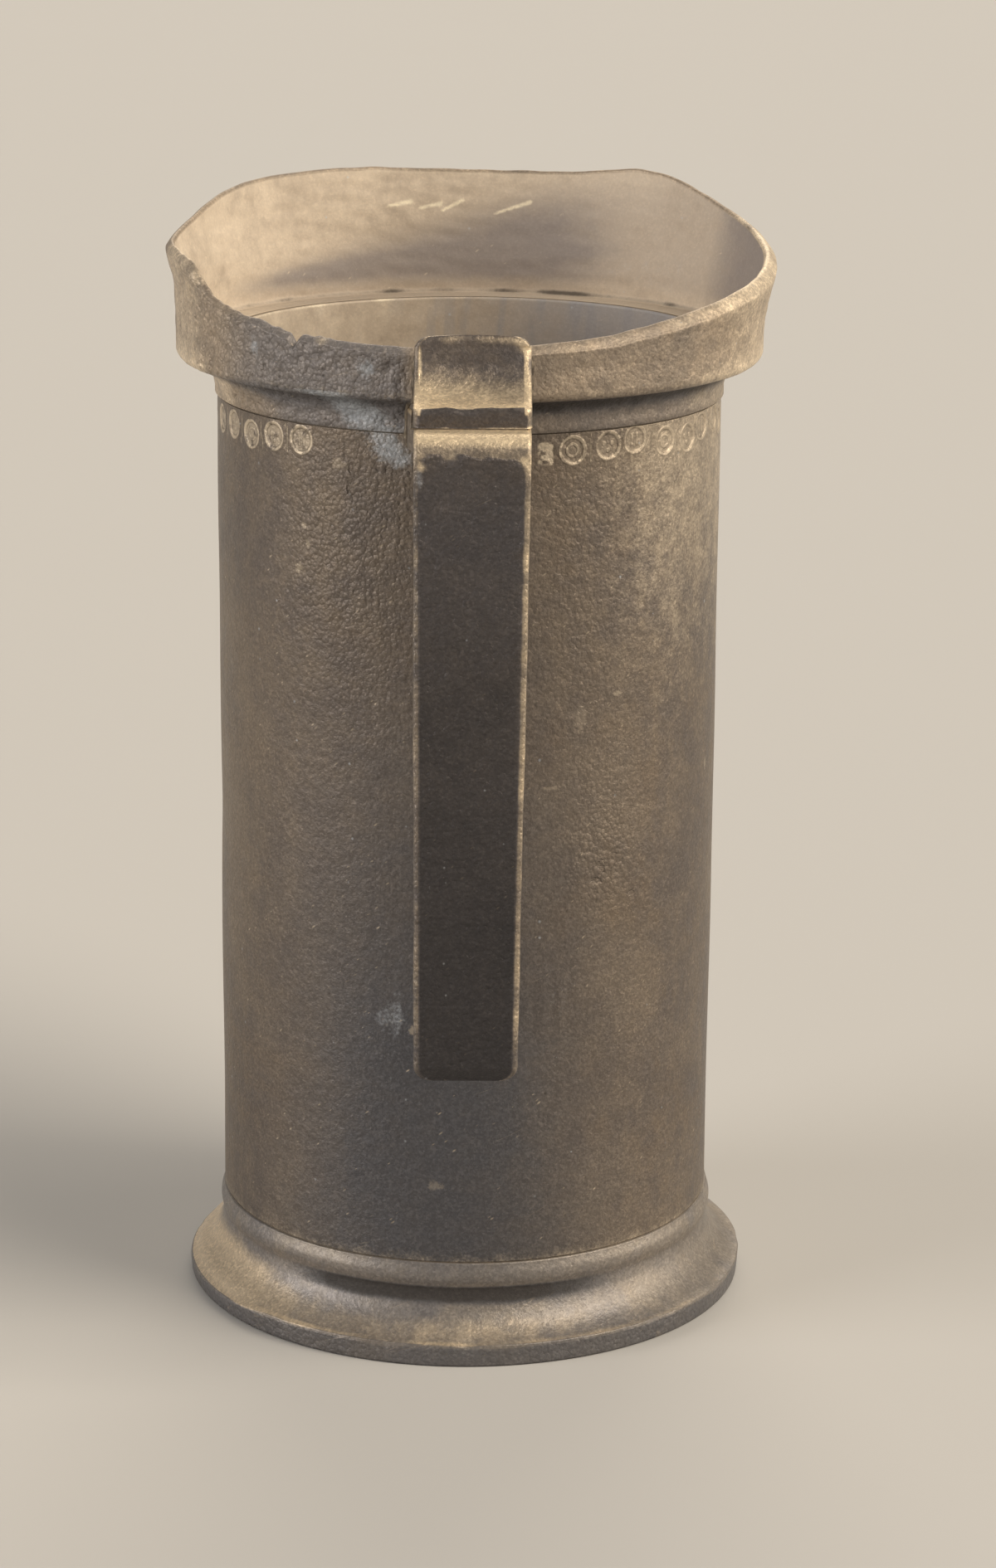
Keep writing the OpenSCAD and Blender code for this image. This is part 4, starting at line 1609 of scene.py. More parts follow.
    def worn_and_lit(self, k: CollarSkin) -> Array:
        """Share of bright metal: the worn rim, its nicks and the strokes, and painted highlights on the lower
        roll and two sides.
        """
        right = self.right_arc.at(k.degrees)
        rim = hump(k.below_rim, 0.6, 0.9 + 0.7 * right)
        wear_and_highlight = rim * np.clip(0.04 + 0.20 * right + 0.08 * k.ragged, 0.0, 0.4) * k.outside
        chip = sum(hump(k.degrees, at, 1.8 * half) for at, half, _ in self.nicks[:4])
        chip = chip * hump(k.below_rim, 0.4, 1.0) * np.clip(0.6 + 0.8 * k.ragged, 0.0, 1.4)
        # Painted highlight along the lower roll.
        roll = hump(k.height, self.sizes.mouth - self.ledge + 1.2 * MM, 1.4 * MM)
        # Painted light on the two lit sides.
        sides = sum(level * arc.at(k.degrees) for arc, level in self.lit_sides)
        wear_and_highlight = wear_and_highlight + 0.34 * chip + (0.26 * roll + sides) * k.outside
        return np.clip(wear_and_highlight + 0.85 * self.scraped(k) * k.inside, 0.0, 1.0)

    def inside_shadow(self, k: CollarSkin) -> Array:
        """Share of painted shadow inside: deepest low at the back and on the right, thin at the ledge."""
        deep = (k.behind - 74.0) / 60.0 + (189.5 * MM - k.height) / (14.0 * MM)
        inside_shadow = ease(-0.45, 0.65, deep) * (1.0 - 0.60 * ease(100.0, 128.0, k.behind))
        inside_shadow = np.maximum(inside_shadow, 0.95 * ease(135.0, 165.0, k.behind))
        inside_shadow = inside_shadow * (1.0 - ease(185.0, 240.0, k.behind))
        return inside_shadow * (0.45 + 0.55 * ease(178.0 * MM, 182.0 * MM, k.height)) * k.inside

    def values(self, k: CollarSkin) -> dict[str, Array]:
        """Values that the finish reads.

        Args:
            k: Places on the collar.

        Returns:
            Numbers per point: bright metal from wear and painted highlights, pale metal, dirt with painted
                shade, painted shade, inside and coarse skin.
        """
        s, ledge_low = self.sizes, self.sizes.mouth - self.ledge
        low, outer = k.part == CollarPart.LOW, k.part < CollarPart.RIM
        rough = self.rough_arc.at(k.degrees) * k.outside
        # Painted shade under the collar's lower edge and in the neck's cove, put into both grime and shade.
        under = hump(k.height, ledge_low - 0.9 * MM, 1.7 * MM) * low
        neck = (1.0 - ease(ledge_low - 0.6 * MM, ledge_low + 0.4 * MM, k.height)) * low
        neck = neck * (1.0 - self.left_arc.at(k.degrees))
        joint = hump(k.height, s.mouth + 0.3 * MM, 0.6 * MM) * k.inside
        joint = joint * hump(k.radius, self.radius() - self.wall - 0.3 * MM, 0.9 * MM)
        drops = sum(
            level * hump(turned(np.radians(k.degrees - at)), 0.0, math.radians(half))
            for at, half, level in self.drops
        )
        # Painted shadow: a dark band that slants across the inside, put into both grime and shade.
        shadow_band = hump(k.height, 182.0 * MM + 0.06 * MM * (k.behind - 50.0), 1.8 * MM)
        shadow_band = shadow_band * self.shadow_band_arc.at(k.behind) * k.inside
        grime_and_shade = 0.55 * under + 0.28 * neck + joint * (0.46 + 0.50 * drops)
        grime_and_shade = grime_and_shade + 0.55 * self.stain.at(k.degrees, k.height) + 0.20 * shadow_band
        grime_and_shade = grime_and_shade + 0.20 * hump(k.height, s.neck_low, 0.25 * MM)
        grime_and_shade = grime_and_shade + 0.18 * self.fine_line.at(k.behind, k.height) * k.inside
        # Painted shade: under the edge, in the neck, and a cool painted shade on the rough left near the
        # handle.
        shade = 0.60 * under + 0.45 * neck + 0.68 * rough * ease(-62.0, -40.0, k.degrees)
        flecks = sum(bell.at(k.degrees, k.height) for bell in self.flecks) * outer
        wash = root_wash(k.degrees, k.height, 7.5) * (k.height < 175 * MM)
        bluish = self.bluish.at(k.behind, k.height) * k.inside
        return {
            "wear_and_highlight": self.worn_and_lit(k),
            "grime_and_shade": np.clip(grime_and_shade + 0.36 * (k.part >= CollarPart.LEDGE), 0.0, 1.0),
            "bloom": 1.15 * wash + 0.80 * flecks + 0.45 * bluish,
            "within": k.inside + 0.0 * k.radius,
            "shade": np.clip(shade + self.inside_shadow(k) + 0.35 * shadow_band, 0.0, 1.0),
            "coarse": 0.50 * rough + 0.35 * outer,
        }

    def build(self) -> bpy.types.Object:
        """Makes the collar: its section at each angle, uneven, inside the box of the solid."""
        s = self.sizes
        angle, angle_closed = round_angles(self.columns)
        rim = self.rim_height(angle)
        radius, height, part = self.profile(angle, rim)
        radius = radius + self.roughened(angle, height, part)
        points = ring_points(angle, radius, height)
        points[..., 0] = np.clip(points[..., 0], -s.rim_x, s.rim_x)
        points[..., 1] = np.minimum(points[..., 1], s.rim_y)
        degrees, ragged = np.degrees(angle), Ripple(33, 40, 0.0).at(angle, height)
        inside, below_rim = part >= CollarPart.BACK, (rim - height) / MM
        skin = CollarSkin(
            degrees, side_angle(degrees), radius, height, below_rim, part, ragged, inside, ~inside
        )
        run = run_length(np.stack([radius[0], height[0]], -1), True)[None]
        lengths = (angle_closed * s.drum_r / MM, run)
        piece = put_mesh("collar_wall", points, (True, True), lengths, self.values(skin))
        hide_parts("collar")
        return piece


@dataclass
class Bar:
    """A swept bar.

    Each point has a place across and a depth below the face. Each station has a half width, a point
    of the outer line and a rounding of its corners.
    """

    points: Array
    u: Array
    below: Array
    half: Array
    outer: Array
    rounding: Array

    def face(self, start: float, end: float) -> Array:
        """Share of the face: 1 down to one depth in millimetres, 0 from another one on."""
        return 1.0 - ease(start * MM, end * MM, self.below)

    def skin(self, station: int) -> tuple[Array, Array]:
        """Running lengths across one station and along the outer line."""
        across = run_length(np.stack([self.u[station], self.below[station]], -1), True)
        return across[None], run_length(self.outer, False)[:, None]


class PadPart(IntEnum):
    """Stretches of the thumb pad's outer line, in order."""

    TOP = 0
    SWEEP = 1
    EDGE = 2
    FRONT = 3


@dataclass
class Handle(Assembly):
    """Flat strap bent over at the top, the thumb pad on its arm, and the strut behind it."""

    sizes: Frame
    collar: Collar
    strap_t: float = 5.0 * MM
    arm_drop: float = 12.4 * MM
    haunch: float = 7.0 * MM
    bend: float = 3.8 * MM
    low_width: float = 17.5 * MM
    end_round: float = 2.6 * MM
    edge_round: float = 0.7 * MM
    root_x: float = 0.56 * MM
    lean: float = 0.0056
    flank: float = 1.4 * MM
    pad_t: float = 1.7 * MM
    pad_step: float = 3.1 * MM
    pad_edge: float = 0.9 * MM
    pad_corner: float = 2.5 * MM
    pad_soft: float = 0.8 * MM
    pad_brow: float = 1.8 * MM
    arm_rows: int = 26
    sweep_rows: int = 40
    edge_points: int = 8
    seat_gap: float = 0.05 * MM
    bead_sides: int = 12
    root_size: float = 0.42 * MM
    root_bend: float = 1.2 * MM
    strut_size: float = 0.6 * MM

    def shift(self, height: Array) -> Array:
        """Sideways place of the middle of the handle, which was soldered on a little askew."""
        return self.root_x + self.lean * (np.minimum(height, self.sizes.shelf) - self.sizes.shelf)

    def spread(self, radius: Array) -> Array:
        """Amount that the left side of the root spreads where it nears the drum."""
        return self.flank * (1.0 - ease(self.sizes.drum_r, self.sizes.drum_r + 8.5 * MM, radius))

    def swept(self, outer: Array, inner: Array, width: Array, rounding: Array) -> Bar:
        """Bar whose section runs from an inner to an outer line in the plane of the handle.

        Args:
            outer: Radius and height of the outer line at each station.
            inner: The same for the inner line.
            width: Width at each station.
            rounding: Rounding of the section's corners at each station.

        Returns:
            The bar, seated on the drum and the collar.
        """
        depth = np.linalg.norm(outer - inner, axis=1)
        u, v = rounded_box_ring(width, depth, rounding, self.edge_points)
        share = v / depth[:, None] + 0.5
        radius = inner[:, :1] + (outer - inner)[:, :1] * share
        height = inner[:, 1:] + (outer - inner)[:, 1:] * share
        left = np.clip(-2.0 * u / width[:, None], 0.0, 1.0)
        x = u + self.shift(height) - self.spread(radius) * left
        seat = self.collar.surface_radius(height) + self.seat_gap
        y = np.minimum(-radius, -np.sqrt(np.maximum(seat**2 - x**2, 0.0)))
        below = (1.0 - share) * depth[:, None]
        points = np.stack([x, y, height], -1)
        return Bar(points, u, below, 0.5 * width[:, None], outer, rounding[:, None])

    def strap_lines(self) -> tuple[Array, Array]:
        """Outer and inner line of the strap: arm, bend over the shelf's nose, and the straight strap."""
        s = self.sizes
        arm = s.mouth - self.arm_drop
        inside = s.strap_out - self.strap_t
        root = s.drum_r - 0.2 * MM
        t = np.linspace(0.0, 1.0, self.arm_rows)[:, None]
        arm_out = np.array([root, s.shelf]) + t * np.array([s.strap_out - self.bend - root, 0.0])
        arm_in = np.array([root, arm]) + t * np.array([inside - self.haunch - root, 0.0])
        turn = np.linspace(0.5 * math.pi, 0.0, self.arm_rows)[1:]
        ring = polar(turn)
        nose = np.array([s.strap_out - self.bend, s.shelf - self.bend]) + self.bend * ring
        heel = np.array([inside - self.haunch, arm - self.haunch]) + self.haunch * ring
        low_out = np.linspace(s.shelf - self.bend, arm - self.haunch, 10)[1:]
        low_in = arm - self.haunch - np.linspace(0.0, 0.01 * MM, len(low_out))
        run = np.linspace(arm - self.haunch, s.strap_low + self.end_round, 70)[1:]
        tip = 1.0 - np.sin(np.linspace(0.0, 0.5 * math.pi, 14)[1:])
        rest = np.concatenate([run, s.strap_low + self.end_round * tip])
        outer, inner = (
            np.concatenate([first, bend, np.stack([np.full(len(low) + len(rest), x), [*low, *rest]], -1)])
            for first, bend, low, x in ((arm_out, nose, low_out, s.strap_out), (arm_in, heel, low_in, inside))
        )
        return outer, inner

    def strap_shape(self, outer: Array, inner: Array) -> Bar:
        """Bar of the strap: straight sides with a slight wave, a rounded tip and a lumpy face.

        Args:
            outer: Outer line.
            inner: Inner line.

        Returns:
            The bar, with half widths that leave out the wave.
        """
        s, level = self.sizes, outer[:, 1]
        ends = [s.strap_low, s.mouth - self.arm_drop]
        width = np.interp(level, ends, [self.low_width, 2.0 * s.strap_half])
        end = np.clip((s.strap_low + self.end_round - level) / self.end_round, 0.0, 1.0)
        width = width - 2.0 * self.end_round * (1.0 - np.sqrt(1.0 - 0.985 * end**2))
        wave = 0.10 * MM * np.sin(level / (9.0 * MM)) + 0.06 * MM * np.sin(level / (3.1 * MM) + 1.0)
        rounding = np.full(len(level), self.edge_round)
        bar = self.swept(outer, inner, width + wave * (end == 0.0), rounding)
        bar.half = 0.5 * width[:, None]
        pinch = np.sqrt(0.25 + 0.75 * np.clip(1.0 - end, 0.12, 1.0))[:, None]
        tip, y, height = (end > 0.0)[:, None], bar.points[..., 1], bar.points[..., 2]
        middle = y.mean(1, keepdims=True)
        bare = bar.face(0.3, 1.3) * ease(0.0, 3.0 * MM, s.shelf - height) * ~tip
        across = 2.0 * bar.u / bar.half
        lumps = Ripple(73, 5, 130.0).at(across, height) + 0.6 * Ripple(74, 14, 300.0).at(across, height)
        y = np.where(tip, middle + (y - middle) * pinch, y)
        bar.points[..., 1] = y + 0.05 * MM * (np.clip(lumps, -2.0, 2.0) + 2.0) * bare
        return bar

    def strap_values(self, bar: Bar) -> dict[str, Array]:
        """Values of the strap: worn edges with a painted highlight, a painted highlight on the nose, rubbed
        corners and a face darkened by painted shade.

        Args:
            bar: Bar of the strap.

        Returns:
            Numbers per point, by the names that the finish reads.
        """
        s, u, below, half = self.sizes, bar.u, bar.below, bar.half
        level, height, face = bar.outer[:, 1], bar.points[..., 2], bar.face(0.3, 1.3)
        down = np.clip((s.shelf - level) / (s.shelf - s.strap_low), 0.0, 1.0)[:, None]
        along = np.arange(len(level))[:, None]
        inset = np.maximum(half - self.edge_round - np.abs(u), 0.0)
        inset = inset / np.where(u > 0.0, 0.50 * MM - 0.25 * MM * down, 0.20 * MM)
        around = np.maximum(below - self.edge_round, 0.0) / (0.8 * MM)
        torn = np.clip(0.90 + 0.14 * Ripple(72, 0, 240.0).at(0.0 * level, level), 0.4, 1.2)[:, None]
        # Worn edges with a painted highlight, stronger on the lit right side.
        edge_wear_and_highlight = np.exp(-(inset**2) - around**2) * torn
        edge_wear_and_highlight = edge_wear_and_highlight * ease(self.arm_rows + 8, self.arm_rows + 22, along)
        wear_and_highlight = edge_wear_and_highlight * np.where(u > 0.0, 0.58 - 0.18 * down, 0.37 - 0.08 * down)
        ragged = Ripple(71, 9, 0.0).at(1.5 * u / half, 0.0 * u)
        side = np.clip(np.abs(u) / half, 0.0, 1.0)
        # Painted highlight on the nose, where the bend faces up.
        brink = s.shelf - self.bend + 0.2 * MM - 1.6 * MM * side**8 + 0.45 * MM * ragged
        lit = ease(brink - 0.2 * MM, brink + 0.4 * MM, height) * face
        glow = lit * (0.38 + 0.62 * ease(s.shelf - 2.2 * MM, s.shelf - 0.1 * MM, height))
        left, right = half + u, half - u
        corner = hump(left, 1.3 * MM, 0.8 * MM) * hump(height, s.shelf - 4.9 * MM, MM)
        corner = corner + 1.2 * hump(right, 1.2 * MM, 0.8 * MM) * hump(height, s.shelf - 3.9 * MM, MM)
        pale = hump(left, MM, MM) * hump(height, s.shelf - 6.6 * MM, 2.0 * MM) * face
        flank = (along < self.arm_rows + 14) * ease(0.5 * MM, 1.6 * MM, below) * (u < 0.0)
        return {
            "wear_and_highlight": np.maximum(np.maximum(wear_and_highlight, glow), 0.75 * corner * face) + 0.30 * flank,
            # Painted shade on the face, darker towards the bottom.
            "shade": (0.40 + 0.50 * down) * face * (1.0 - lit) * (1.0 - np.clip(edge_wear_and_highlight, 0.0, 1.0)),
            "bloom": 0.9 * pale + 0.35 * flank,
            "coarse": 0.60 * face * (1.0 - lit),
        }

    def build_strap(self) -> bpy.types.Object:
        """Makes the strap: its section carried along the arm, the bend and the straight."""
        bar = self.strap_shape(*self.strap_lines())
        skin, values = bar.skin(2 * self.arm_rows + 8), self.strap_values(bar)
        piece = put_mesh("handle_strap_bar", bar.points, (False, True), skin, values, capped=True)
        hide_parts("handle_strap")
        return piece

    def pad_lines(self) -> tuple[Array, Array, Array]:
        """Outer and inner line of the pad.

        Returns:
            The outer line over the round top, down the sweep, round the edge and down the front; the
            inner line over the top and down the collar; and the part that each station belongs to.
        """
        s, soft, brow = self.sizes, self.pad_soft, self.pad_brow
        back = float(self.collar.surface_radius(np.array(s.pad_top))) + 0.2 * MM
        face = back + self.pad_t
        sweep_end, step = s.pad_front - self.pad_edge, s.pad_low + self.pad_step
        turn = np.linspace(0.46 * math.pi, 0.0, 9)[:-1]
        top_z = s.pad_top - brow + brow * np.sin(turn)
        top_out = np.stack([face - 1.2 * soft + 1.2 * soft * np.cos(turn), top_z], -1)
        top_in = np.stack([back + 0.6 * soft - 0.6 * soft * np.cos(turn), top_z], -1)
        run, rise = sweep_end - face, s.pad_top - brow - step
        radius = (run * run + rise * rise) / (2.0 * rise)
        turn = np.linspace(math.asin(run / radius), 0.0, self.sweep_rows)
        sweep = np.stack([sweep_end - radius * np.sin(turn), step + radius * (1.0 - np.cos(turn))], -1)
        turn = np.linspace(0.5 * math.pi, 0.0, 10)
        ring = polar(turn)
        edge = np.array([s.pad_front - soft, step - soft]) + soft * ring
        front = np.stack([np.full(8, s.pad_front), np.linspace(step - soft, s.pad_low, 9)[1:]], -1)
        rest = np.concatenate([sweep[:-1], edge, front])
        low = np.linspace(0.0, 1.0, len(rest))
        rest_z = np.minimum(s.pad_top - brow + (s.pad_low - s.pad_top + brow) * low**1.15, rest[:, 1])
        rest_in = np.stack([self.collar.surface_radius(rest_z) + 0.1 * MM, rest_z], -1)
        part = np.repeat(list(PadPart), [len(top_out), len(sweep) - 1, len(edge), len(front)])
        return np.concatenate([top_out, rest]), np.concatenate([top_in, rest_in]), part

    def pad_shape(self, outer: Array, inner: Array, part: Array, down: Array) -> Bar:
        """Bar of the pad: round upper corners, a shallow cup in the sweep and a ragged edge.

        Args:
            outer: Outer line.
            inner: Inner line.
            part: Part of each station.
            down: How far down the sweep each station lies, 0 to 1.

        Returns:
            The bar.
        """
        s, depth = self.sizes, np.linalg.norm(outer - inner, axis=1)
        rounding = np.where(part[:, 0] == PadPart.FRONT, 1.2 * MM, 0.9 * MM)
        drop = np.clip((s.pad_top - outer[:, 1]) / self.pad_corner, 0.0, 1.0)
        cut = self.pad_corner * (1.0 - np.sqrt(1.0 - (1.0 - drop) ** 2))
        width = 2.0 * s.pad_half - 2.0 * cut
        bar = self.swept(outer, inner, width, np.minimum(rounding, 0.40 * depth))
        points, across = bar.points, bar.u / bar.half
        side = np.clip(np.abs(across), 0.0, 1.0)
        face = bar.face(0.2, 1.0)
        sweep, edge = part == PadPart.SWEEP, part == PadPart.EDGE
        cup = 0.6 * MM * (1.0 - side**2) * Stretch(0.05, 0.30, 0.78, 1.0).at(down)
        cup = cup + 0.05 * MM * Ripple(82, 12, 300.0).at(2.0 * across, points[..., 2])
        ragged = Ripple(81, 10, 0.0).at(1.4 * across, 0.0 * across)
        points[..., 1] = points[..., 1] + cup * face * sweep
        points[..., 2] = points[..., 2] + 0.22 * MM * ragged * face * edge
        points[..., 2] = points[..., 2] - 0.30 * MM * side**2 * (part == PadPart.TOP)
        return bar

    def pad_scoop(self, bar: Bar, part: Array) -> Array:
        """Share of the front's painted shade in its recess: a rectangle with round upper corners inside a
        bright border.
        """
        bend = 1.7 * MM
        step_z = self.sizes.pad_low + self.pad_step
        rise = np.clip((bar.points[..., 2] - step_z + bend) / bend, 0.0, 1.0)
        room = bar.half - 0.7 * MM - bend * (1.0 - np.sqrt(1.0 - rise**2))
        inside = 1.0 - ease(room - 0.25 * MM, room + 0.15 * MM, np.abs(bar.u))
        return inside * (part >= PadPart.EDGE) * bar.face(0.2, 1.0)

    def pad_worn_and_lit(self, bar: Bar, part: Array, down: Array) -> Array:
        """Bright metal of the pad: thin lines along its edges, its top, and the sweep, worn and lit by a
        painted highlight.

        Args:
            bar: Bar of the pad.
            part: Part of each station.
            down: How far down the sweep each station lies.

        Returns:
            Share of bright metal at each point.
        """
        u, half, below, level = bar.u, bar.half, bar.below, bar.outer[:, 1]
        height, step_z = bar.points[..., 2], self.sizes.pad_low + self.pad_step
        left, right = half + u, half - u
        face, sweep = bar.face(0.2, 1.0), part == PadPart.SWEEP
        front = part == PadPart.FRONT
        ragged = Ripple(81, 10, 0.0).at(1.4 * u / half, 0.0 * u)
        inset = half - bar.rounding - np.abs(u)
        top_gap = run_length(bar.outer, False)[:, None] * MM
        torn = np.clip(0.9 + 0.22 * Ripple(83, 0, 400.0).at(0.0 * level, level), 0.4, 1.2)[:, None]
        line = np.exp(-((inset / np.where(u < 0.0, 0.22 * MM, 0.34 * MM)) ** 2)) * torn
        top = hump(top_gap, 0.8 * MM, 1.1 * MM) * np.clip(0.9 + 0.25 * ragged, 0.3, 1.3)
        wear_and_highlight = np.maximum(0.85 * line * (below < 1.2 * MM), 0.30 * (inset < 0.0))
        wear_and_highlight = np.maximum(wear_and_highlight, 0.34 * top)
        wear_and_highlight = wear_and_highlight + 0.60 * hump(right, MM, 1.2 * MM) * hump(top_gap, 2.4 * MM, 1.2 * MM)
        # The sweep: worn, and lit by a painted highlight that grows as it turns to face up.
        sweep_wear_and_highlight = (0.16 + 0.54 * ease(0.08, 0.82, down)) * (1.0 - 0.22 * u / half) * face * sweep
        bits = np.clip(ragged, 0.0, 1.0) * hump(down, 0.90, 0.07) * face * sweep
        tips = hump(left, 0.9 * MM, 0.8 * MM) * hump(height, step_z + 0.7 * MM, 1.2 * MM)
        tips = tips + hump(right, 0.6 * MM, 0.5 * MM) * hump(height, step_z + 1.6 * MM, 2.2 * MM)
        crumbs = hump(height, self.sizes.pad_low, 0.30 * MM) * ease(0.3, 0.8, ragged) * front
        border = (1.0 - self.pad_scoop(bar, part)) * front
        wear_and_highlight = np.maximum(wear_and_highlight * (part < PadPart.FRONT), sweep_wear_and_highlight) + 0.34 * bits + 0.62 * tips
        return wear_and_highlight + 0.30 * border + 0.55 * crumbs

    def build_pad(self) -> bpy.types.Object:
        """Makes the thumb pad: a sweep from its upright front up to a thin rounded top."""
        outer, inner, stretch = self.pad_lines()
        part, first = stretch[:, None], np.count_nonzero(stretch == PadPart.TOP)
        down = np.clip((np.arange(len(outer)) - first) / (self.sweep_rows - 1.0), 0.0, 1.0)[:, None]
        bar = self.pad_shape(outer, inner, part, down)
        face = bar.face(0.2, 1.0)
        scoop = self.pad_scoop(bar, part)
        # Painted shadow line along the top of the front's recess.
        fold = hump(bar.points[..., 2], self.sizes.pad_low + self.pad_step - 0.2 * MM, 0.35 * MM)
        # The upper sweep, which faces forward, darkened as painted shade.
        upper = (1.0 - ease(0.10, 0.50, down)) * face * (part == PadPart.SWEEP)
        values = {
            "wear_and_highlight": self.pad_worn_and_lit(bar, part, down),
            # Painted shade in the front's recess and on the upper sweep; the painted shadow line under the
            # fold goes in with the grime.
            "shade": np.clip(0.42 * scoop + 0.15 * upper, 0.0, 1.0),
            "grime_and_shade": 0.55 * fold * scoop,
            "coarse": 0.12 * face,
        }
        skin = bar.skin(first + self.sweep_rows + 4)
        piece = put_mesh("thumb_pad", bar.points, (False, True), skin, values, capped=True)
        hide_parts("handle_pad")
        return piece

    def build_strut(self) -> bpy.types.Object:
        """Makes the strut: a rounded bar from drum to strap, drawn in to a waist half way."""
        s = self.sizes
        inside = s.strap_out - self.strap_t
        t = np.linspace(0.0, 1.0, 34)
        reach = s.drum_r - 0.1 * MM + (inside + 0.1 * MM - s.drum_r + 0.1 * MM) * t
        waist = 1.0 - (2.0 * t - 1.0) ** 2
        tall = s.strut_high - s.strut_low - 2.6 * MM * waist
        wide = 2.0 * s.strut_half - 2.0 * MM * waist
        u, v = rounded_box_ring(wide, tall, 0.32 * tall, 7)
        mid = 0.5 * (s.strut_low + s.strut_high)
        x = u + self.shift(np.array(mid))
        y = -reach[:, None] + 0.0 * u
        seat = s.drum_r + 0.02 * MM
        y = np.minimum(y, -np.sqrt(np.maximum(seat**2 - x**2, 0.0)))
        lumps = 0.04 * MM * Ripple(51, 3, 90.0).at(3.0 * v / tall[:, None], x)
        points = np.stack([x, y, mid + v + lumps], -1)
        values = {
            "wear_and_highlight": 0.25 * np.ones(points.shape[:2]),
            "grime_and_shade": 0.5 * (hump(t, 0.0, 0.08) + hump(t, 1.0, 0.08))[:, None] * np.ones_like(u),
        }
        across = run_length(np.stack([u[0], v[0]], -1), True)[None]
        skin = (across, (reach / MM)[:, None])
        piece = put_mesh("strut_bar", points, (False, True), skin, values, capped=True)
        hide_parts("handle_strut")
        return piece

    def bead(
        self, name: str, path: Array, size: float, closed: bool, seed: int, *nodes: str
    ) -> bpy.types.Object:
        """Makes a run of solder: a round section of uneven size carried along a joint.

        Args:
            name: Name of the piece.
            path: Points of the joint.
            size: Mean radius of the run.
            closed: Whether the joint goes all round.
            seed: Seed of its unevenness.
            nodes: Solids that it stands for.

        Returns:
            The new piece.
        """
        count = len(path)
        if closed:
            along = np.roll(path, -1, 0) - np.roll(path, 1, 0)
        else:
            along = np.gradient(path, axis=0)
        along = along / np.linalg.norm(along, axis=1, keepdims=True)
        out = path * (1.0, 1.0, 0.0)
        out = out / np.linalg.norm(out, axis=1, keepdims=True)
        side = np.cross(along, out)
        side = side / np.linalg.norm(side, axis=1, keepdims=True)
        out = np.cross(side, along)
        turn = np.linspace(0.0, TAU, self.bead_sides + 1)[:-1]
        t = np.arange(count) / count * TAU
        radius = size * (1.0 + 0.14 * Ripple(seed, 16, 0.0).at(t, 0.0 * t))
        if not closed:
            from_end = np.minimum(np.arange(count), np.arange(count)[::-1])
            radius = radius * np.sqrt(np.clip(from_end / 4.0, 0.05, 1.0))
        cos, sin = np.cos(turn)[None, :, None], np.sin(turn)[None, :, None]
        points = path[:, None] + radius[:, None, None] * (cos * out[:, None] + sin * side[:, None])
        skin = (np.arange(self.bead_sides + 1)[None] * 0.4, run_length(path, closed)[:, None])
        piece = put_mesh(name, points, (closed, True), skin, {}, capped=not closed)
        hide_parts(*nodes)
        return piece

    def build_beads(self) -> list[bpy.types.Object]:
        """Makes the runs of solder round the handle's root and at both ends of the strut."""
        s = self.sizes
        half, low, top = s.strap_half + 0.1 * MM, s.mouth - self.arm_drop, s.pad_top - 4.2 * MM
        bend = self.root_bend
        side_z = np.linspace(top, low + bend, 46)
        left = np.stack([np.full(len(side_z), -half), side_z], -1)
        turn = np.linspace(math.pi, 1.5 * math.pi, 8)[1:-1]
        corner = np.array([-half, low]) + bend + bend * polar(turn)
        flat = np.linspace(-half + bend, half - bend, 34)
        bottom = np.stack([flat, np.full(len(flat), low)], -1)
        mirror = np.array([-1.0, 1.0])
        line = np.concatenate([left, corner, bottom, corner[::-1] * mirror, left[::-1] * mirror])
        seat = self.collar.surface_radius(line[:, 1])
        x = line[:, 0] + self.shift(line[:, 1]) - self.spread(seat) * (line[:, 0] < 0.0)
        path = np.stack([x, -np.sqrt(seat**2 - x**2), line[:, 1]], -1)
        made = [self.bead("root_fillet", path, self.root_size, False, 61, "root_solder")]
        mid, tall = 0.5 * (s.strut_low + s.strut_high), 0.5 * (s.strut_high - s.strut_low)
        turn = np.linspace(0.0, TAU, 73)[:-1]
        cos, sin = np.cos(turn), np.sin(turn)
        z = mid + np.sign(sin) * np.sqrt(np.abs(sin)) * tall
        x = np.sign(cos) * np.sqrt(np.abs(cos)) * s.strut_half + self.shift(z)
        on_drum = -np.sqrt(s.drum_r**2 - x**2)
        on_strap = np.full(len(x), self.strap_t - s.strap_out)
        for name, node, y, seed in (
            ("strut_drum_fillet", "strut_solder", on_drum, 62),
            ("strut_strap_fillet", "strap_solder", on_strap, 63),
        ):
            made.append(self.bead(name, np.stack([x, y, z], -1), self.strut_size, True, seed, node))
        return made


# Studio


@dataclass(frozen=True)
class Lamp:
    """Wide soft light from far away: its direction, its level, its spread in degrees and its tint."""

    name: str
    towards: Triple
    level: float
    spread: float = 34.0
    tint: Colour = (1.0, 0.89, 0.74)

    def build(self) -> None:
        """Adds the light to the scene."""
        data = bpy.data.lights.new(self.name, "SUN")
        data.energy, data.angle, data.color = self.level, math.radians(self.spread), self.tint
        lamp = put_object(self.name, data)
        lamp.rotation_euler = Vector(self.towards).to_track_quat("Z", "Y").to_euler()
        lamp.location = self.towards


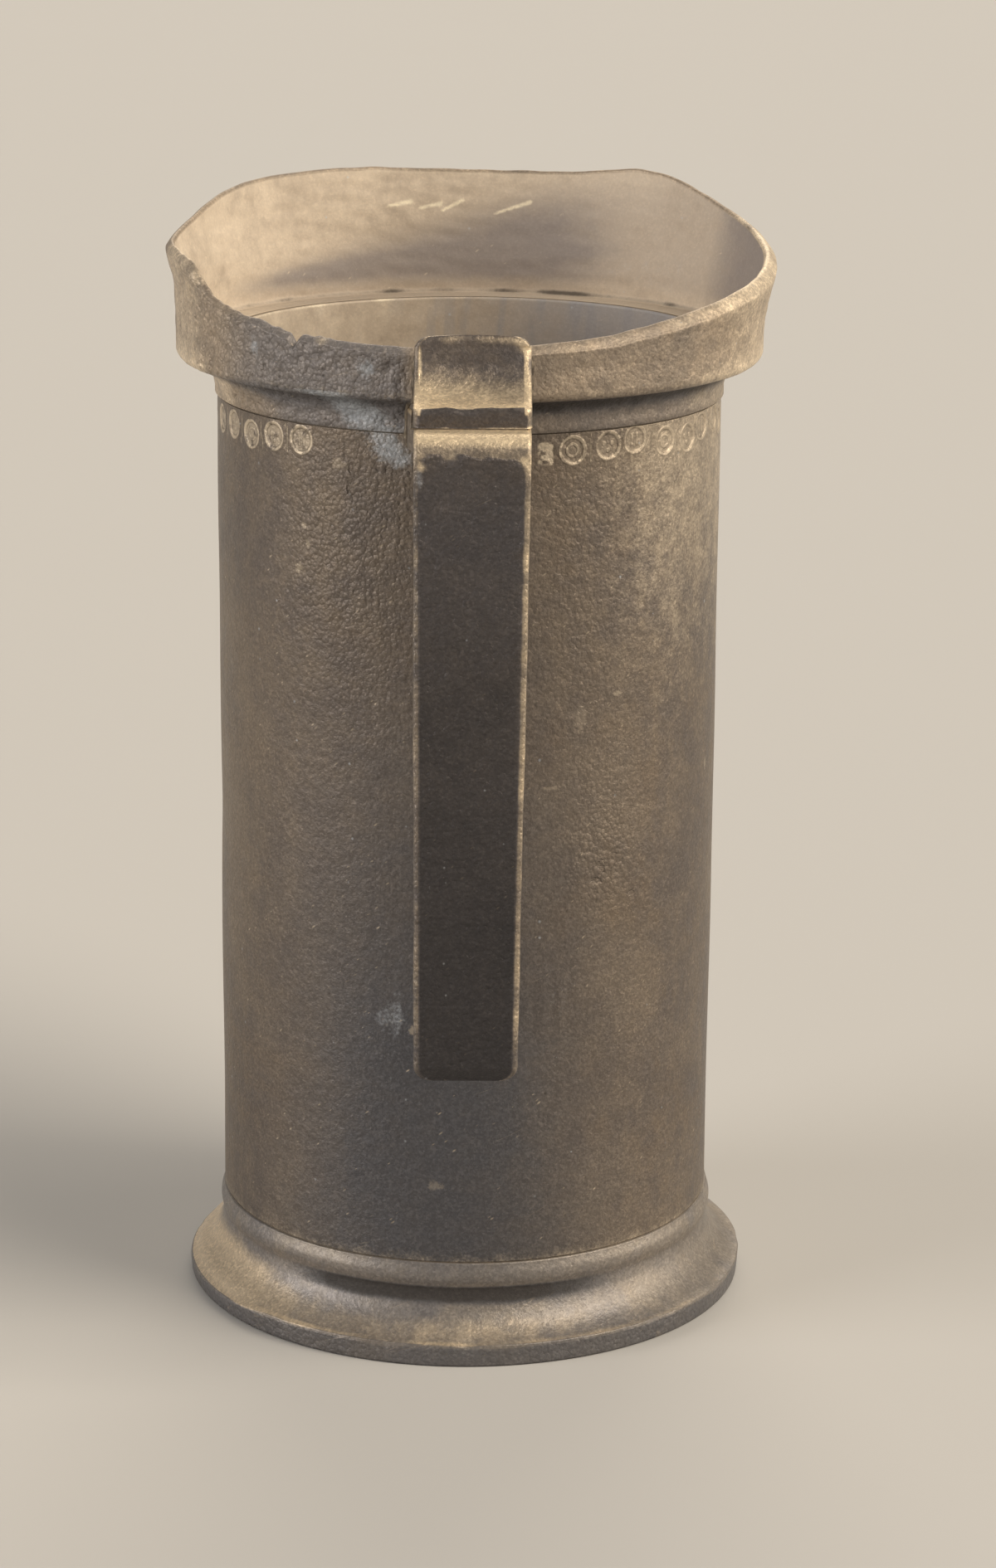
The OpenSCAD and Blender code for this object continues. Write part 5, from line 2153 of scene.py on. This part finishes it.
@dataclass(frozen=True)
class Studio:
    """Plain pale floor, soft lamps and the camera, whose angles are in radians."""

    floor_colour: Colour = (0.58, 0.57, 0.555)
    floor_tint: Colour = (0.53, 0.51, 0.485)
    tint_share: float = 0.06
    tint_size: float = 160.0
    floor_rough: float = 0.9
    bounce_colour: Colour = (0.30, 0.29, 0.28)
    floor_level: float = 3.0
    floor_reach: float = 11.0
    floor_rise: float = 0.6
    floor_gap: float = 0.02 * MM
    floor_sides: int = 96
    floor_rings: int = 25
    world_colour: Colour = (1.0, 0.97, 0.92)
    world_level: float = 0.19
    lamps: tuple[Lamp, ...] = (
        Lamp("light_key", (0.74, -0.44, 0.82), 2.2),
        Lamp("light_back", (0.05, 0.84, 0.54), 0.95, spread=40.0),
        Lamp("light_left", (-1.5, -0.55, 0.5), 1.6, tint=(1.0, 0.94, 0.87)),
        Lamp("light_right", (1.35, -0.05, 0.35), 1.05),
    )
    eye: Triple = (0.0, -0.71829, 0.29260)
    pitch: float = 0.2701
    yaw: float = 0.0079
    roll: float = 0.0077
    focal_pixels: float = 4865.9
    image_height: float = 1890.0
    sensor: float = 36.0
    clip: Pair = (0.01, 1000.0)

    def floor(self) -> bpy.types.Object:
        """Makes the floor: a level disc, and a band that rises as the square of the distance."""
        turn = np.linspace(0.0, TAU, self.floor_sides + 1)[:-1]
        around, out = np.meshgrid(turn, np.linspace(0.0, 1.0, self.floor_rings), indexing="ij")
        radius = self.floor_level + (self.floor_reach - self.floor_level) * out
        points = ring_points(around, radius, self.floor_rise * out**2 - self.floor_gap)
        index = np.arange(out.size).reshape(out.shape)
        after = np.roll(index, -1, 0)
        sides = np.stack([index[:, :-1], index[:, 1:], after[:, 1:], after[:, :-1]], -1).reshape(-1, 4)
        mesh = bpy.data.meshes.new("floor")
        mesh.from_pydata(points.reshape(-1, 3).tolist(), [], [index[:, 0].tolist(), *sides.tolist()])
        return put_object("floor", mesh)

    def camera(self) -> None:
        """Sets the camera at the viewing angle of the photograph."""
        data = bpy.data.cameras.new("eye")
        data.sensor_width = self.sensor
        data.lens = self.focal_pixels * self.sensor / self.image_height
        data.clip_start, data.clip_end = self.clip
        camera = put_object("eye", data)
        tilt = Matrix.Rotation(0.5 * math.pi - self.pitch, 4, "X") @ Matrix.Rotation(self.roll, 4, "Z")
        turn = Matrix.Rotation(-self.yaw, 4, "Z") @ tilt
        camera.matrix_world = Matrix.Translation(self.eye) @ turn
        bpy.context.scene.camera = camera

    def build(self) -> None:
        """Makes floor, world, lamps and camera."""
        floor = self.floor()
        g = Graph(bpy.data.materials.new("floor_paper"))
        soft = g.noise(g.place(), self.tint_size, 2.0)
        tone = g.mix(soft * self.tint_share, self.floor_colour, self.floor_tint)
        tone = g.mix(g.seen(), self.bounce_colour, tone)
        floor.data.materials.append(g.surface(tone, self.floor_rough, 0.0, None))
        sky = Graph(bpy.data.worlds.new("studio"))
        inputs = {"Color": self.world_colour, "Strength": self.world_level}
        glow = sky.node("ShaderNodeBackground", {}, inputs)
        sky.node("ShaderNodeOutputWorld", {}, {0: sky.pick(glow)})
        bpy.context.scene.world = sky.owner
        for lamp in self.lamps:
            lamp.build()
        bpy.context.scene.view_settings.view_transform = "Standard"
        self.camera()


# Finishes of the pieces


def drum_spots(sizes: Frame) -> Table:
    """Single pale spots and dark pits of the drum.

    Args:
        sizes: Main sizes of the measure.

    Returns:
        For each spot its place across and up, half width and half height in millimetres, and its
        share of pale metal, or its depth as a negative number.
    """
    seen = (
        (-29.4, 161.1, 1.6, 1.2, 0.30), (-26.3, 160.4, 0.5, 1.4, -0.9), (-26.9, 157.4, 0.5, 1.3, -0.9),
        (-39.1, 149.6, 0.9, 0.7, 0.45), (-37.7, 146.4, 0.6, 0.9, 0.35), (-40.1, 141.9, 1.0, 1.6, 0.40),
        (31.4, 89.5, 1.0, 1.8, -0.7), (30.0, 87.0, 1.3, 0.8, -0.7), (39.9, 83.7, 0.9, 0.9, -0.6),
        (34.9, 120.5, 1.3, 0.5, 0.35), (18.3, 104.9, 1.7, 0.45, 0.25), (70.9, 102.1, 0.5, 1.4, 0.45),
        (25.7, 117.0, 1.6, 3.0, 0.16), (-6.6, 31.8, 1.6, 1.2, 0.22), (-12.0, 61.0, 1.2, 1.0, 0.45),
    )
    return tuple((math.radians(a) * sizes.drum_r / MM, z, w, h, k) for a, z, w, h, k in seen)


def pewters(sizes: Frame) -> dict[str, Pewter]:
    """Pewter of each sub-assembly.

    Args:
        sizes: Main sizes of the measure.

    Returns:
        The finishes, by the name of the sub-assembly.
    """
    chill = (0.58, 0.63, 0.69)
    return {
        "drum": StruckPewter(
            "struck_drum_pewter", "pewter_drum",
            dark=(0.160, 0.136, 0.121), mid=(0.243, 0.198, 0.153), warm=(0.226, 0.172, 0.120),
            # The next line also sets the colours of the painted shade outside and the painted shadow inside.
            worn_and_lit=(0.66, 0.56, 0.43), shade_colour=(0.110, 0.110, 0.122), inside_shadow=(0.37, 0.362, 0.376),
            within=(0.71, 0.61, 0.485), bloom=chill, grain_depth=0.13, dimple_depth=0.25, fleck=0.8,
            spots=drum_spots(sizes),
        ),
        "floor": Pewter(
            "floor_pewter", "pewter_floor",
            dark=(0.10, 0.092, 0.082), mid=(0.19, 0.17, 0.14), warm=(0.16, 0.12, 0.085),
            worn_and_lit=(0.42, 0.37, 0.30), rough=0.55,
        ),
        "foot": Pewter(
            "foot_pewter", "pewter_foot",
            dark=(0.228, 0.214, 0.212), mid=(0.320, 0.283, 0.244), warm=(0.28, 0.23, 0.175),
            # The next line also sets the colour of the painted shade in the hollow and on the upright edge.
            worn_and_lit=(0.69, 0.565, 0.41), shade_colour=(0.126, 0.132, 0.152), fleck=0.25, hollow=0.25, sand=0.35,
            tear=0.45, scratch=0.5, grain_depth=0.08, dimple_depth=0.15, turning=0.010,
        ),
        "collar": Pewter(
            "collar_pewter", "pewter_collar",
            dark=(0.305, 0.258, 0.212), mid=(0.487, 0.395, 0.300), warm=(0.44, 0.344, 0.244),
            # The next line also sets the colours of the painted shade outside and the painted shadow inside.
            worn_and_lit=(0.92, 0.78, 0.59), shade_colour=(0.234, 0.225, 0.232), inside_shadow=(0.325, 0.287, 0.268),
            within=(0.775, 0.665, 0.53), bloom=chill, rough=0.56,
            grain_depth=0.13, dimple_depth=0.21, pit_share=0.40, pit_depth=0.13,
        ),
        "handle": Pewter(
            "handle_pewter", "pewter_handle",
            dark=(0.111, 0.102, 0.105), mid=(0.186, 0.160, 0.145), warm=(0.165, 0.127, 0.092),
            # The next line also sets the colour of the painted shade on the strap's face and the pad's
            # recess.
            worn_and_lit=(0.92, 0.75, 0.52), shade_colour=(0.055, 0.051, 0.053), bloom=(0.50, 0.52, 0.55),
            grain_depth=0.13, dimple_depth=0.26, pit_share=0.2, fleck=0.10, tear=0.38, scratch=0.15,
            turning=0.0,
        ),
    }


def main() -> None:
    """Builds and dresses the measure."""
    logging.basicConfig(level=logging.INFO, format="%(message)s")
    sizes = Frame.read()
    Studio().build()
    finish = pewters(sizes)
    drum, floor, foot, collar = Drum(sizes), Floor(), Foot(sizes), Collar(sizes)
    handle = Handle(sizes, collar)
    drum.dress(finish["drum"], drum.build())
    floor.dress(finish["floor"], floor.build())
    foot.dress(finish["foot"], foot.build())
    collar.dress(finish["collar"], collar.build())
    handle.dress(finish["handle"], handle.build_strap(), handle.build_pad(), handle.build_strut())
    bed = Solder("solder_bed", "solder", dull=(0.11, 0.092, 0.075), bright=(0.27, 0.225, 0.17))
    nodes = frame["nodes"]
    handle.dress(bed, *handle.build_beads(), nodes["floor_solder"], nodes["pad_solder"])
    seam = Solder(
        "solder_seam", "solder", dull=(0.15, 0.126, 0.102), bright=(0.24, 0.20, 0.155), rough=0.6,
        rubbed_above=sizes.mouth / MM - 1.0,
    )
    collar.dress(seam, nodes["foot_solder"], nodes["collar_solder"])


if __name__ == "__main__":
    main()
